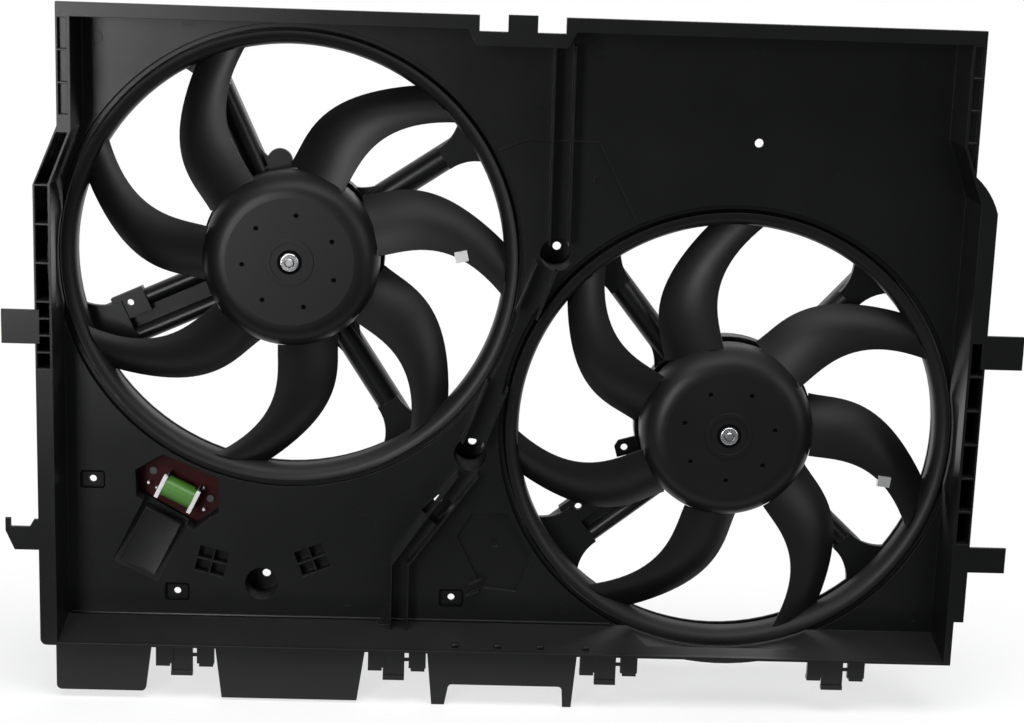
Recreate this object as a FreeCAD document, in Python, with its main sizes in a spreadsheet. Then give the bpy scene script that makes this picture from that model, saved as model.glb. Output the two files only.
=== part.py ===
"""Twin radiator fan shroud: one moulded tray with two fans, their motors and the speed resistor.

Frame: millimetres, +X to the right and +Z up as seen from the radiator, +Y away from the radiator,
toward the engine. The origin lies on the seating face of the bottom rim, midway between the fans.
"""
import FreeCAD, Part

import math
import os
import re

import Sketcher

Vector = FreeCAD.Vector
Rotation = FreeCAD.Rotation

SIZES = {
    # Tray: rim toward the radiator, walls, and the plate that carries the fans.
    "shroud_height": 589.5,
    "upper_half_width": 407.5,
    "shoulder_step": 22.0,
    "upper_flange": 12.5,
    "lower_flange": 15.5,
    "top_flange": 12.5,
    "flange_depth": 8.0,
    "wall": 2.5,
    "tray_depth": 58.0,
    "left_shoulder_low": 429.0,
    "left_shoulder_high": 482.0,
    "right_shoulder_low": 428.0,
    "right_shoulder_high": 461.0,
    "right_shoulder_radius": 70.0,
    "foot_step": 9.0,
    "foot_height": 43.0,
    "corner_radius": 6.0,
    "floor_rise": 10.0,
    # Notch in the top rim, with its locating tab.
    "notch_left": 39.0,
    "notch_right": 37.0,
    "notch_depth": 14.0,
    "notch_slope": 7.0,
    "tab_width": 26.0,
    "tab_height": 16.0,
    # Side channels with their ladder rungs.
    "channel_lip": 1.8,
    "rung": 1.6,
    "shallow_depth": 6.0,
    "shallow_cell": 28.6,
    "left_shallow_low": 491.0,
    "right_shallow_low": 462.0,
    "deep_depth": 46.0,
    "left_deep_low": 262.0,
    "left_narrow_cell": 15.5,
    "left_wide_cell": 35.0,
    "right_deep_low": 118.0,
    "right_deep_cell": 32.0,
    # Fans: both are the same moulding, on axes along Y.
    "fan_spacing": 412.8,
    "fan_left_height": 358.0,
    "fan_right_height": 205.0,
    "fan_left_turn": 47.0,
    "fan_right_turn": 28.0,
    "hub_radius": 82.0,
    "hub_front": 47.0,
    "hub_back": 89.0,
    "hub_wall": 2.5,
    "hub_shoulder": 23.0,
    "hub_ring_radius": 22.0,
    "hub_ring_width": 4.0,
    "hub_ring_rise": 1.0,
    "hub_rib_depth": 9.0,
    "dimple_circle": 43.5,
    "dimple_radius": 2.2,
    "dimple_depth": 1.8,
    "boss_radius": 15.0,
    "boss_back": 68.0,
    "swept_radius": 197.0,
    "ring_wall": 2.5,
    "ring_back": 77.0,
    "lip_radius": 209.5,
    "lip_front": 55.5,
    "blade_front": 60.0,
    "blade_root_back": 87.0,
    "blade_tip_back": 75.0,
    "blade_thickness": 2.8,
    "blade_edge": 1.2,
    "blade_camber": 5.0,
    "blade_lead_root": 11.0,
    "blade_lead_sweep": 81.0,
    "blade_trail_root": 43.0,
    "blade_trail_sweep": 67.0,
    "clip_reach": 155.5,
    "clip_length": 12.0,
    "clip_depth": 10.0,
    "clip_height": 6.0,
    # Barrels of the shroud round the fans.
    "tip_gap": 2.5,
    "mouth_step": 4.3,
    "mouth_depth": 6.0,
    "shelf_front": 17.5,
    "barrel_back": 94.5,
    "outlet_radius": 200.0,
    # Motor carriers: a ring on four struts behind each fan.
    "carrier_left_turn": 34.0,
    "carrier_right_turn": 48.0,
    "strut_half_width": 12.0,
    "strut_nose": 92.0,
    "strut_back": 112.0,
    "rod_half_width": 7.5,
    "rod_offset": 15.0,
    "flare_radius": 42.0,
    "flare_length": 33.0,
    "flare_spread": 18.0,
    "tab_reach": 160.0,
    "motor_ring_radius": 85.5,
    "motor_ring_front": 95.0,
    "motor_seat": 98.0,
    "screw_circle": 68.0,
    "screw_radius": 2.5,
    "screw_boss_radius": 6.5,
    "screw_fit": 0.05,
    "screw_hole_gap": 0.3,
    "screw_head_radius": 5.0,
    "screw_head_height": 4.0,
    # Motors: permanent-magnet motors, held from behind by a three-eared bracket.
    "can_radius": 50.0,
    "can_wall": 2.0,
    "can_front": 83.0,
    "can_back": 150.0,
    "can_gap": 0.4,
    "nose_front": 75.5,
    "bearing_radius": 11.0,
    "bearing_width": 7.0,
    "shaft_radius": 4.0,
    "shaft_front": 42.5,
    "shaft_back": 158.0,
    "shaft_running_gap": 0.03,
    "magnet_thickness": 7.5,
    "magnet_front": 88.0,
    "magnet_back": 132.0,
    "magnet_angle": 66.0,
    "armature_gap": 0.8,
    "armature_front": 92.0,
    "armature_back": 126.0,
    "armature_slot": 3.0,
    "winding_radius": 33.0,
    "winding_overhang": 5.0,
    "commutator_radius": 12.0,
    "commutator_front": 135.0,
    "commutator_back": 147.0,
    "brush_card_front": 139.0,
    "brush_width": 6.0,
    "brush_length": 14.0,
    "brush_gap": 0.3,
    "cap_thickness": 3.0,
    "bracket_thickness": 2.5,
    "inlet_length": 20.0,
    "inlet_width": 22.0,
    "inlet_height": 15.0,
    "inlet_wall": 1.6,
    "lock_ring_radius": 8.5,
    "insert_radius": 9.0,
    # Plate features: service cups, pads, pockets and ribs.
    "cup_radius": 15.5,
    "cup_hole_radius": 4.0,
    "cup_hole_shift": 2.0,
    "cup_upper_reach": 97.7,
    "cup_lower_reach": 110.6,
    "cup_upper_shift": 5.0,
    "cup_lower_shift": 3.0,
    "cup_long": 50.0,
    "cup_short": 32.0,
    "cup_side_x": 231.0,
    "cup_side_z": 45.0,
    "rib": 1.8,
    "rib_height": 20.0,
    "twin_rib_offset": 9.0,
    "waist_reach": 36.0,
    "knee_x": -108.0,
    "knee_gap": 16.0,
    "knee_z": 73.0,
    "pad_width": 22.0,
    "pad_height": 17.0,
    "pad_depth": 3.0,
    "fixing_hole_radius": 3.3,
    "plate_hole_radius": 4.0,
    "crossed_width": 28.0,
    "crossed_height": 25.0,
    "crossed_depth": 12.0,
    "step_bead": 1.2,
    "panel_depth": 4.0,
    # Resistor pocket, its duct ramp and the resistor.
    "pocket_depth": 26.0,
    "pocket_turn": -26.0,
    "ramp_width": 47.0,
    "ramp_length": 66.0,
    "board_thickness": 2.0,
    "core_x": -311.0,
    "core_z": 131.0,
    "core_radius": 10.5,
    "core_length": 30.0,
    "core_foot_gap": 1.5,
    "end_clip": 1.5,
    "end_clip_flange": 4.0,
    "end_clip_height": 24.0,
    "outlet_width": 34.0,
    "outlet_height": 16.0,
    "board_screw_reach": 30.0,
    "board_screw_radius": 1.8,
    "board_screw_head": 3.6,
    "socket_length": 12.0,
    # Edge fixings: lugs, flaps and snap clips.
    "lug_length": 34.0,
    "lug_height": 31.0,
    "lug_thickness": 3.0,
    "lug_upper_z": 285.5,
    "lug_lower_z": 92.0,
    "lug_lower_height": 24.0,
    "flap_thickness": 2.5,
    "clip_foot_width": 16.0,
    "latch_width": 20.0,
}

# Sizes that follow from others.
FOLLOWING = {
    "lower_half_width": "upper_half_width + shoulder_step",
}

# Blade pitch in degrees: uneven, so that the blades do not sing on one note.
BLADE_STEPS = (61, 44.5, 53, 50, 55, 47)
# Struts after the first one, in degrees: the third is the wide one that carries the cable.
STRUT_ANGLES = (0, 80.5, 170.5, 269)
WIDE_STRUT = 2
SCREW_ANGLES = (61, 181, 301)
DIMPLES = 7
DIMPLE_LEAN = 5.0
HUB_RIBS = 7
MAGNETS = 4
ARMATURE_SLOTS = 12
CLIP_BLADE = 6

REAR = Vector(0, 1, 0)
FRONT = Vector(0, -1, 0)

doc = FreeCAD.newDocument("radiator_fan_shroud")
sheet = doc.addObject("Spreadsheet::Sheet", "Sizes")
for row, (alias, number) in enumerate({**SIZES, **FOLLOWING}.items(), start=1):
    sheet.set(f"A{row}", alias.replace("_", " "))
    sheet.set(f"B{row}", f"={number}" if alias in FOLLOWING else str(number))
    sheet.setAlias(f"B{row}", alias)
doc.recompute()
NAMES = {*SIZES, *FOLLOWING}


# ---------------------------------------------------------------- helpers

def bound(text):
    """The expression `text` with each size's name turned into its cell."""
    return re.sub(r"[a-z]\w*", lambda word: f"Sizes.{word[0]}" if word[0] in NAMES else word[0],
                  str(text))


def value(text):
    """The number that an expression on the sheet gives now."""
    return float(sheet.evalExpression(bound(text)))


def bind(item, **expressions):
    """Bind properties of a document object: a double underscore stands for a dot."""
    for path, text in expressions.items():
        item.setExpression(path.replace("__", "."), bound(text))
    return item


def place(item, x="0", y="0", z="0", turn=None):
    """Put an object at (x, y, z), turned counter-clockwise as seen from the radiator."""
    if turn is not None:
        item.Placement = FreeCAD.Placement(Vector(0, 0, 0), Rotation(FRONT, 0.0))
        bind(item, Placement__Rotation__Angle=turn)
    return bind(item, Placement__Base__x=x, Placement__Base__y=y, Placement__Base__z=z)


PLANES = {
    "front": Rotation(Vector(1, 0, 0), 90),
    "side": Rotation(Vector(1, 1, 1), 120),
    "top": Rotation(),
}


def draw(sketch, outline):
    """Fill a sketch with a closed outline whose corners are bound to the sheet.

    Each corner is (x, y), or (x, y, radius) where the edge that leaves it is an arc. A positive
    radius bulges to the right of the way along the outline, a negative one to the left.
    """
    corners = [(value(corner[0]), value(corner[1])) for corner in outline]
    ends = []
    for index, corner in enumerate(outline):
        start = Vector(*corners[index], 0)
        stop = Vector(*corners[(index + 1) % len(corners)], 0)
        if len(corner) == 2:
            sketch.addGeometry(Part.LineSegment(start, stop))
            ends.append((1, 2))
            continue
        radius = value(corner[2])
        half = (stop - start).Length / 2
        across = Vector(stop.y - start.y, start.x - stop.x, 0).normalize()
        side = 1 if radius > 0 else -1
        centre = (start + stop) / 2 - across * side * math.sqrt(max(radius ** 2 - half ** 2, 0))
        first, last = (start, stop) if side > 0 else (stop, start)
        angles = [math.atan2(point.y - centre.y, point.x - centre.x) for point in (first, last)]
        if angles[1] < angles[0]:
            angles[1] += 2 * math.pi
        circle = Part.Circle(centre, Vector(0, 0, 1), abs(radius))
        sketch.addGeometry(Part.ArcOfCircle(circle, *angles))
        ends.append((1, 2) if side > 0 else (2, 1))
    count = len(outline)
    for index in range(count):
        following = (index + 1) % count
        sketch.addConstraint(
            Sketcher.Constraint("Coincident", index, ends[index][1], following, ends[following][0]))
    for index, corner in enumerate(outline):
        for kind, number, text in zip(("DistanceX", "DistanceY"), corners[index], corner):
            place_in_list = sketch.addConstraint(
                Sketcher.Constraint(kind, -1, 1, index, ends[index][0], number))
            sketch.setExpression(f"Constraints[{place_in_list}]", bound(text))
        if len(corner) == 3:
            radius = Sketcher.Constraint("Radius", index, abs(value(corner[2])))
            place_in_list = sketch.addConstraint(radius)
            sketch.setExpression(f"Constraints[{place_in_list}]", bound(f"abs({corner[2]})"))
    return sketch


def profile(name, outline, plane="front"):
    sketch = doc.addObject("Sketcher::SketchObject", name)
    sketch.Placement = FreeCAD.Placement(Vector(0, 0, 0), PLANES[plane])
    return draw(sketch, outline)


def slab(name, outline, start, depth):
    """An outline in X and Z, extruded toward the engine from Y = start."""
    solid = doc.addObject("Part::Extrusion", name)
    solid.Base = bind(profile(f"{name}_outline", outline), Placement__Base__y=start)
    solid.DirMode = "Custom"
    solid.Dir = REAR
    solid.Solid = True
    return bind(solid, LengthFwd=depth)


def beam(name, outline, start, length):
    """An outline in Y and Z, extruded along +X from X = start."""
    solid = doc.addObject("Part::Extrusion", name)
    solid.Base = bind(profile(f"{name}_outline", outline, "side"), Placement__Base__x=start)
    solid.DirMode = "Custom"
    solid.Dir = Vector(1, 0, 0)
    solid.Solid = True
    return bind(solid, LengthFwd=length)


def turned(name, outline):
    """An outline in radius and Y, revolved about the Y axis."""
    solid = doc.addObject("Part::Revolution", name)
    solid.Source = profile(f"{name}_outline", outline, "top")
    solid.Axis = REAR
    solid.Angle = 360
    solid.Solid = True
    return solid


def block(name, x, y, z, length, depth, height, turn=None):
    """A box from its lowest corner; with `turn`, the corner stays and the box turns about it."""
    solid = doc.addObject("Part::Box", name)
    place(solid, x, y, z, turn)
    return bind(solid, Length=length, Width=depth, Height=height)


def post(name, radius, x, start, z, length):
    """A cylinder along +Y."""
    solid = doc.addObject("Part::Cylinder", name)
    solid.Placement = FreeCAD.Placement(Vector(0, 0, 0), Rotation(Vector(1, 0, 0), -90))
    bind(solid, Placement__Base__x=x, Placement__Base__y=start, Placement__Base__z=z)
    return bind(solid, Radius=radius, Height=length)


def rib_between(name, x0, z0, x1, z1):
    """A thin rib that stands on the plate between two points."""
    length = f"sqrt((({x1}) - ({x0}))^2 + (({z1}) - ({z0}))^2)"
    turn = f"atan2(({z1}) - ({z0}); ({x1}) - ({x0}))"
    return block(name, x0, "tray_depth - rib_height", z0, length, "rib_height + wall / 2", "rib", turn)


def fuse(name, *solids):
    if len(solids) == 1:
        return solids[0]
    joined = doc.addObject("Part::MultiFuse", name)
    joined.Shapes = list(solids)
    return joined


def wrapped(name, item):
    """A compound round one object, so that it can be turned as a whole."""
    group = doc.addObject("Part::Compound", name)
    group.Links = [item]
    return group


def cut(name, base, tool):
    result = doc.addObject("Part::Cut", name)
    result.Base = base
    result.Tool = tool
    return result


def rectangle(x, z, width, height, turn="0", grow="0"):
    """A rectangle about (x, z), turned by `turn` degrees and grown all round by `grow`."""
    half_width = f"(({width}) / 2 + {grow})"
    half_height = f"(({height}) / 2 + {grow})"
    corners = []
    for across, up in (("-1", "-1"), ("1", "-1"), ("1", "1"), ("-1", "1")):
        along = f"({across} * {half_width})"
        over = f"({up} * {half_height})"
        corners.append((f"({x}) + {along} * cos({turn}) - {over} * sin({turn})",
                        f"({z}) + {along} * sin({turn}) + {over} * cos({turn})"))
    return corners


def circle_point(radius, angle):
    """A point (x, z) on a circle about the local axis."""
    return f"({radius}) * cos({angle})", f"({radius}) * sin({angle})"


SIDES = {
    "left": {"x": "-fan_spacing / 2", "z": "fan_left_height"},
    "right": {"x": "fan_spacing / 2", "z": "fan_right_height"},
}


def on_axis(item, side, turn=None):
    """Move what was built about the origin to the axis of one fan."""
    return place(item, SIDES[side]["x"], "0", SIDES[side]["z"], turn)


NODES = {}


def node(name, item):
    """Name a finished sub-part: the label is the name of its file."""
    item.Label = name
    NODES[name] = item
    return item


# ---------------------------------------------------------------- shroud: tray and rim

def rim_outline():
    return [
        ("-lower_half_width + corner_radius", "0"),
        ("lower_half_width - foot_step", "0"),
        ("lower_half_width - foot_step", "foot_height"),
        ("lower_half_width", "foot_height"),
        ("lower_half_width", "right_shoulder_low", "right_shoulder_radius"),
        ("upper_half_width", "right_shoulder_high"),
        ("upper_half_width", "shroud_height"),
        ("notch_right", "shroud_height"),
        ("notch_right", "shroud_height - notch_depth"),
        ("-notch_left", "shroud_height - notch_depth"),
        ("-notch_left", "shroud_height"),
        ("-upper_half_width", "shroud_height"),
        ("-upper_half_width", "left_shoulder_high"),
        ("-lower_half_width", "left_shoulder_low"),
        ("-lower_half_width", "corner_radius", "corner_radius"),
    ]


def tray_outline(grow):
    """The inside of the tray, or its outside when grown by the wall."""
    top = f"shroud_height - top_flange + {grow}"
    low = f"lower_half_width - lower_flange + {grow}"
    high = f"upper_half_width - upper_flange + {grow}"
    under_notch = f"shroud_height - notch_depth - top_flange + {grow}"
    return [
        (f"-({low})", f"wall - {grow}"),
        (low, f"wall - {grow}"),
        (low, "right_shoulder_low + 8"),
        (high, "right_shoulder_high + 26"),
        (high, top),
        (f"notch_right + notch_slope + wall - {grow}", top),
        (f"notch_right + wall - {grow}", under_notch),
        (f"-notch_left - wall + {grow}", under_notch),
        (f"-notch_left - notch_slope - wall + {grow}", top),
        (f"-({high})", top),
        (f"-({high})", "left_shoulder_high - 4"),
        (f"-({low})", "left_shoulder_low + 1"),
    ]


def cells(name, low, pitch, count, x, width, depth):
    """The pockets between the rungs of a side channel."""
    return [
        block(f"{name}_cell_{index}", x, "-1", f"{low} + {index} * {pitch} + rung / 2",
              width, f"{depth} + 1", f"{pitch} - rung")
        for index in range(count)
    ]


def shroud_rim():
    """The flange round the tray, with the side channels cut into it."""
    slant = "((lower_half_width - upper_half_width) / (left_shoulder_high - left_shoulder_low))"
    slant_foot = "left_deep_low + 4 * left_narrow_cell + 3 * left_wide_cell"
    left_housing = slab("left_channel_housing", [
        ("-lower_half_width", "left_deep_low - wall"),
        ("-lower_half_width + lower_flange", "left_deep_low - wall"),
        ("-upper_half_width + upper_flange", "left_shoulder_high"),
        ("-upper_half_width", "left_shoulder_high"),
        ("-lower_half_width", "left_shoulder_low"),
    ], "0", "deep_depth + wall")
    right_housing = slab("right_channel_housing", [
        ("lower_half_width - lower_flange", "right_deep_low - wall"),
        ("lower_half_width", "right_deep_low - wall"),
        ("lower_half_width", "right_deep_low + 6 * right_deep_cell + wall"),
        ("lower_half_width - lower_flange", "right_deep_low + 6 * right_deep_cell + wall"),
    ], "0", "deep_depth + wall")
    slanted_cell = slab("left_slanted_cell", [
        ("-lower_half_width + channel_lip", f"{slant_foot} + rung / 2"),
        ("-lower_half_width + lower_flange", f"{slant_foot} + rung / 2"),
        ("-upper_half_width + upper_flange", "left_shoulder_high - 6"),
        (f"-upper_half_width - 6 * {slant} + channel_lip", "left_shoulder_high - 6"),
    ], "-1", "deep_depth + 1")
    upper_width = "upper_flange - channel_lip"
    lower_width = "lower_flange - channel_lip"
    pockets = [slanted_cell]
    pockets += cells("left_shallow", "left_shallow_low", "shallow_cell", 3,
                     "-upper_half_width + channel_lip", upper_width, "shallow_depth")
    pockets += cells("right_shallow", "right_shallow_low", "shallow_cell", 4,
                     "upper_half_width - upper_flange", upper_width, "shallow_depth")
    pockets += cells("left_narrow", "left_deep_low", "left_narrow_cell", 4,
                     "-lower_half_width + channel_lip", lower_width, "deep_depth")
    pockets += cells("left_wide", "left_deep_low + 4 * left_narrow_cell", "left_wide_cell", 3,
                     "-lower_half_width + channel_lip", lower_width, "deep_depth")
    pockets += cells("right_deep", "right_deep_low", "right_deep_cell", 6,
                     "lower_half_width - lower_flange", lower_width, "deep_depth")
    rim = slab("rim_plate", rim_outline(), "0", "flange_depth")
    solid = fuse("rim_with_housings", rim, left_housing, right_housing)
    return cut("rim_with_channels", solid, fuse("channel_pockets", *pockets))


def barrel_wall(side):
    tube = "lip_radius + tip_gap + wall"
    mouth = "lip_radius + tip_gap + mouth_step + wall"
    return on_axis(turned(f"barrel_wall_{side}", [
        ("0", "shelf_front"),
        (tube, "shelf_front"),
        (tube, "tray_depth"),
        (mouth, "tray_depth"),
        (mouth, "tray_depth + mouth_depth + wall"),
        (tube, "tray_depth + mouth_depth + wall"),
        (tube, "barrel_back"),
        ("0", "barrel_back"),
    ]), side)


def barrel_bore(side):
    tube = "lip_radius + tip_gap"
    mouth = "lip_radius + tip_gap + mouth_step"
    return on_axis(turned(f"barrel_bore_{side}", [
        ("0", "shelf_front + wall"),
        (tube, "shelf_front + wall"),
        (tube, "tray_depth"),
        (mouth, "tray_depth"),
        (mouth, "tray_depth + mouth_depth"),
        (tube, "tray_depth + mouth_depth"),
        (tube, "barrel_back - wall"),
        ("outlet_radius", "barrel_back - wall"),
        ("outlet_radius", "barrel_back + 1"),
        ("0", "barrel_back + 1"),
    ]), side)


# ---------------------------------------------------------------- shroud: motor carriers

def round_nosed(name, half_width, start, length, nose, back, z="0"):
    """A strut with a round nose toward the fan, along +X."""
    centre = f"({nose} + {half_width})"
    return beam(name, [
        (centre, f"{z} + {half_width}", f"{half_width}"),
        (nose, z, f"{half_width}"),
        (centre, f"{z} - {half_width}"),
        (back, f"{z} - {half_width}"),
        (back, f"{z} + {half_width}"),
    ], start, length)


def strut(name, wide):
    """One strut along +X, open toward the engine, with a flared end on the barrel."""
    inner = "motor_ring_radius - 4"
    outer = "lip_radius + tip_gap - 1"
    if wide:
        hollow = "(rod_half_width - wall)"
        walls = []
        hollows = []
        for tag, side in (("upper", "-1"), ("lower", "1")):
            centre = f"({side} * rod_offset)"
            nose = "strut_nose + strut_half_width - rod_half_width"
            walls.append(round_nosed(f"{name}_{tag}_rod", "rod_half_width", inner,
                                     f"{outer} - ({inner})", nose, "strut_back", centre))
            hollows.append(round_nosed(f"{name}_{tag}_hollow", hollow, "motor_ring_radius + 4",
                                       "outlet_radius - motor_ring_radius - 6",
                                       f"{nose} + wall", "strut_back + 1", centre))
        walls.append(block(f"{name}_web", inner, "strut_nose + strut_half_width", "-rod_offset",
                           f"{outer} - ({inner})", "wall", "2 * rod_offset"))
        walls.append(block(f"{name}_tab", "tab_reach - 16", "strut_nose + 2", "-rod_offset - 12",
                           "32", "strut_half_width - 2", "24"))
        hollows.append(post(f"{name}_tab_hole", "fixing_hole_radius", "tab_reach", "strut_nose - 1",
                            "-rod_offset - 2", "30"))
        flare = "rod_offset + rod_half_width"
    else:
        walls = [round_nosed(f"{name}_wall", "strut_half_width", inner, f"{outer} - ({inner})",
                             "strut_nose", "strut_back")]
        hollows = [round_nosed(f"{name}_hollow", "(strut_half_width - wall)", "motor_ring_radius + 4",
                               "outlet_radius - motor_ring_radius - 6",
                               "strut_nose + wall", "strut_back + 1")]
        flare = "strut_half_width"
    walls.append(slab(f"{name}_flare", [
        ("outlet_radius - flare_length", f"-({flare}) + 1", "-flare_radius"),
        ("outlet_radius + 4", f"-({flare}) - flare_spread"),
        ("outlet_radius + 4", f"{flare} + flare_spread", "-flare_radius"),
        ("outlet_radius - flare_length", f"{flare} - 1"),
    ], "barrel_back - wall", "6"))
    if not wide:
        walls.append(slab(f"{name}_root_flare", [
            ("motor_ring_radius - wall", f"-({flare}) - 9", "-flare_radius"),
            ("motor_ring_radius + 19", f"-({flare}) + 1"),
            ("motor_ring_radius + 19", f"{flare} - 1", "-flare_radius"),
            ("motor_ring_radius - wall", f"{flare} + 9"),
        ], "motor_ring_front + 4", "6"))
    return walls, hollows


def carrier(side):
    """The motor ring and its four struts, in the place they have behind one fan."""
    walls = []
    hollows = []
    for index, angle in enumerate(STRUT_ANGLES):
        name = f"strut_{side}_{index}"
        parts, voids = strut(name, index == WIDE_STRUT)
        walls.append(place(fuse(f"{name}_walls", *parts), turn=str(angle)))
        hollows.append(place(fuse(f"{name}_voids", *voids), turn=str(angle)))
    seat_bore = "can_radius + can_gap"
    walls.append(turned(f"motor_ring_{side}", [
        (seat_bore, "motor_seat"),
        ("motor_ring_radius - wall", "motor_seat"),
        ("motor_ring_radius - wall", "motor_ring_front"),
        ("motor_ring_radius", "motor_ring_front"),
        ("motor_ring_radius", "strut_back"),
        ("motor_ring_radius - wall", "strut_back"),
        ("motor_ring_radius - wall", "motor_seat + wall"),
        (f"{seat_bore} + wall", "motor_seat + wall"),
        (seat_bore, "motor_seat + wall"),
    ]))
    for index, angle in enumerate(SCREW_ANGLES):
        x, z = circle_point("screw_circle", angle)
        walls.append(post(f"screw_boss_{side}_{index}", "screw_boss_radius", x, "motor_seat - 8", z,
                          "8 + wall / 2"))
        hollows.append(post(f"screw_pilot_{side}_{index}", "screw_radius", x, "motor_seat - 6", z, "20"))
    ear_x, ear_z = circle_point("motor_ring_radius + 2", "65")
    walls.append(post(f"ring_ear_{side}", "12", ear_x, "motor_ring_front", ear_z, "6"))
    tab = slab(f"ring_tab_{side}", [
        ("motor_ring_radius - wall", "-8"),
        ("motor_ring_radius + 16", "-8"),
        ("motor_ring_radius + 21", "-3"),
        ("motor_ring_radius + 21", "8"),
        ("motor_ring_radius - wall", "8"),
    ], "motor_seat", "wall")
    walls.append(place(tab, turn="148"))
    hole_x, hole_z = circle_point("motor_ring_radius + 12", "148")
    hollows.append(post(f"ring_tab_hole_{side}", "fixing_hole_radius", hole_x, "motor_seat - 1",
                        hole_z, "wall + 2"))
    hollows.append(post(f"seat_bore_{side}", seat_bore, "0", "strut_nose - 8", "0", "40"))
    solid = cut(f"carrier_{side}", fuse(f"carrier_walls_{side}", *walls),
                fuse(f"carrier_voids_{side}", *hollows))
    return on_axis(solid, side, f"carrier_{side}_turn")


# ---------------------------------------------------------------- shroud: plate features

CUPS = {
    "upper": ("cup_upper_reach * fan_drop + cup_upper_shift",
              "cup_upper_reach * fan_run + fan_middle - cup_upper_shift / 2", "cup_long"),
    "lower": ("-cup_lower_reach * fan_drop + cup_lower_shift",
              "-cup_lower_reach * fan_run + fan_middle", "cup_long"),
    "side": ("-cup_side_x", "cup_side_z", "cup_short"),
}
PADS = {"left": ("-390", "144"), "bottom": ("-311", "35"), "middle": ("-50", "35")}
CROSSED = {"left": ("-278", "66", "-14"), "right": ("-183", "70", "22")}


def passage(text):
    """Spell out the direction of the narrow passage between the two fans."""
    rise = "(fan_left_height - fan_right_height)"
    distance = f"sqrt(fan_spacing^2 + {rise}^2)"
    return (text.replace("fan_drop", f"({rise} / {distance})")
            .replace("fan_run", f"(fan_spacing / {distance})")
            .replace("fan_middle", "((fan_left_height + fan_right_height) / 2)"))


def cup_walls(name):
    x, z, depth = (passage(text) for text in CUPS[name])
    return post(f"cup_{name}_wall", "cup_radius + wall", x, "tray_depth - 3", z, f"{depth} + 3 + wall")


def cup_voids(name):
    x, z, depth = (passage(text) for text in CUPS[name])
    return [
        post(f"cup_{name}_bore", "cup_radius", x, "tray_depth - 4", z, f"{depth} + 4"),
        post(f"cup_{name}_hole", "cup_hole_radius", f"{x} + cup_hole_shift", "tray_depth", z,
             f"{depth} + 2 * wall"),
    ]


def twin_ribs():
    """Ribs from the notch past the upper cup, through the waist to the lower cup and the bottom wall."""
    upper_x, upper_z, _ = (passage(text) for text in CUPS["upper"])
    ribs = []
    for tag, x in (("left", "notch_right - 6"), ("right", "notch_right + 12")):
        ribs.append(rib_between(f"twin_rib_{tag}", f"{x} + 1", f"{upper_z} + cup_radius * 0.7",
                                x, "shroud_height - notch_depth - top_flange"))
    reaches = {"upper": ("waist_reach", "cup_upper_reach - cup_radius + 3 - waist_reach"),
               "lower": ("-cup_lower_reach + cup_radius - 3",
                         "cup_lower_reach - cup_radius + 3 - waist_reach")}
    for tag, (start, length) in reaches.items():
        pair = [block(f"waist_rib_{tag}_{side}", start, "tray_depth - rib_height", offset,
                      length, "rib_height + wall / 2", "rib")
                for side, offset in (("a", "twin_rib_offset"), ("b", "-twin_rib_offset - rib"))]
        ribs.append(place(fuse(f"waist_ribs_{tag}", *pair), "0", "0", passage("fan_middle"),
                          "atan2(fan_spacing; fan_left_height - fan_right_height)"))
    lower_x, lower_z, _ = (passage(text) for text in CUPS["lower"])
    for tag, start, knee in (("left", -12, "knee_x"), ("right", 7, "knee_x + knee_gap")):
        ribs.append(rib_between(f"lower_rib_{tag}", f"{lower_x} + {start}", f"{lower_z} - 16",
                                knee, "knee_z"))
    return ribs


def foot_ribs():
    """The twin ribs from the knee down to the floor, with the gusset beside them."""
    ribs = [block(f"foot_rib_{tag}", knee, "tray_depth - rib_height", "wall / 2",
                  "rib", "rib_height + wall / 2", "knee_z")
            for tag, knee in (("left", "knee_x"), ("right", "knee_x + knee_gap"))]
    gusset = slab("foot_gusset", [("knee_x - 14", "wall / 2"), ("knee_x + 1", "wall / 2"),
                                  ("knee_x + 1", "39")],
                  "tray_depth - rib_height / 2", "rib_height / 2 + wall / 2")
    return ribs + [gusset]


def snap_bars():
    """Two short bars beside the middle pad that hold the edge of a cable duct."""
    return [block(f"snap_bar_{index}", x, "tray_depth - 5", z, "15", "5 + wall / 2", "2.5", "27")
            for index, (x, z) in enumerate((("-36", "36"), ("-33", "48")))]


def step_bead():
    """The fine raised line across the plate round the top of the waist."""
    bead = slab("step_bead_body", [
        ("-17", "466"), ("8", "476"), ("74", "476"), ("111", "404"),
        ("111 - step_bead", "404 - step_bead / 2"), ("74 - step_bead / 2", "476 - step_bead"),
        ("8 + step_bead / 4", "476 - step_bead"), ("-17", "466 - step_bead"),
    ], "tray_depth - step_bead", "step_bead + wall / 2")
    return [bead]


PANEL = [("-33", "119"), ("-46", "96"), ("-21", "46"), ("12", "43"), ("25", "77"), ("2", "121")]
POCKET = [("-324", "170"), ("-350", "154"), ("-349", "128"), ("-295", "97"), ("-272", "114"),
          ("-272", "147")]


def grown(outline, centre, factor):
    """A polygon grown about its centre, for the wall round a pocket."""
    return [(f"{centre[0]} + (({x}) - ({centre[0]})) * {factor}",
             f"{centre[1]} + (({z}) - ({centre[1]})) * {factor}") for x, z in outline]


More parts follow.
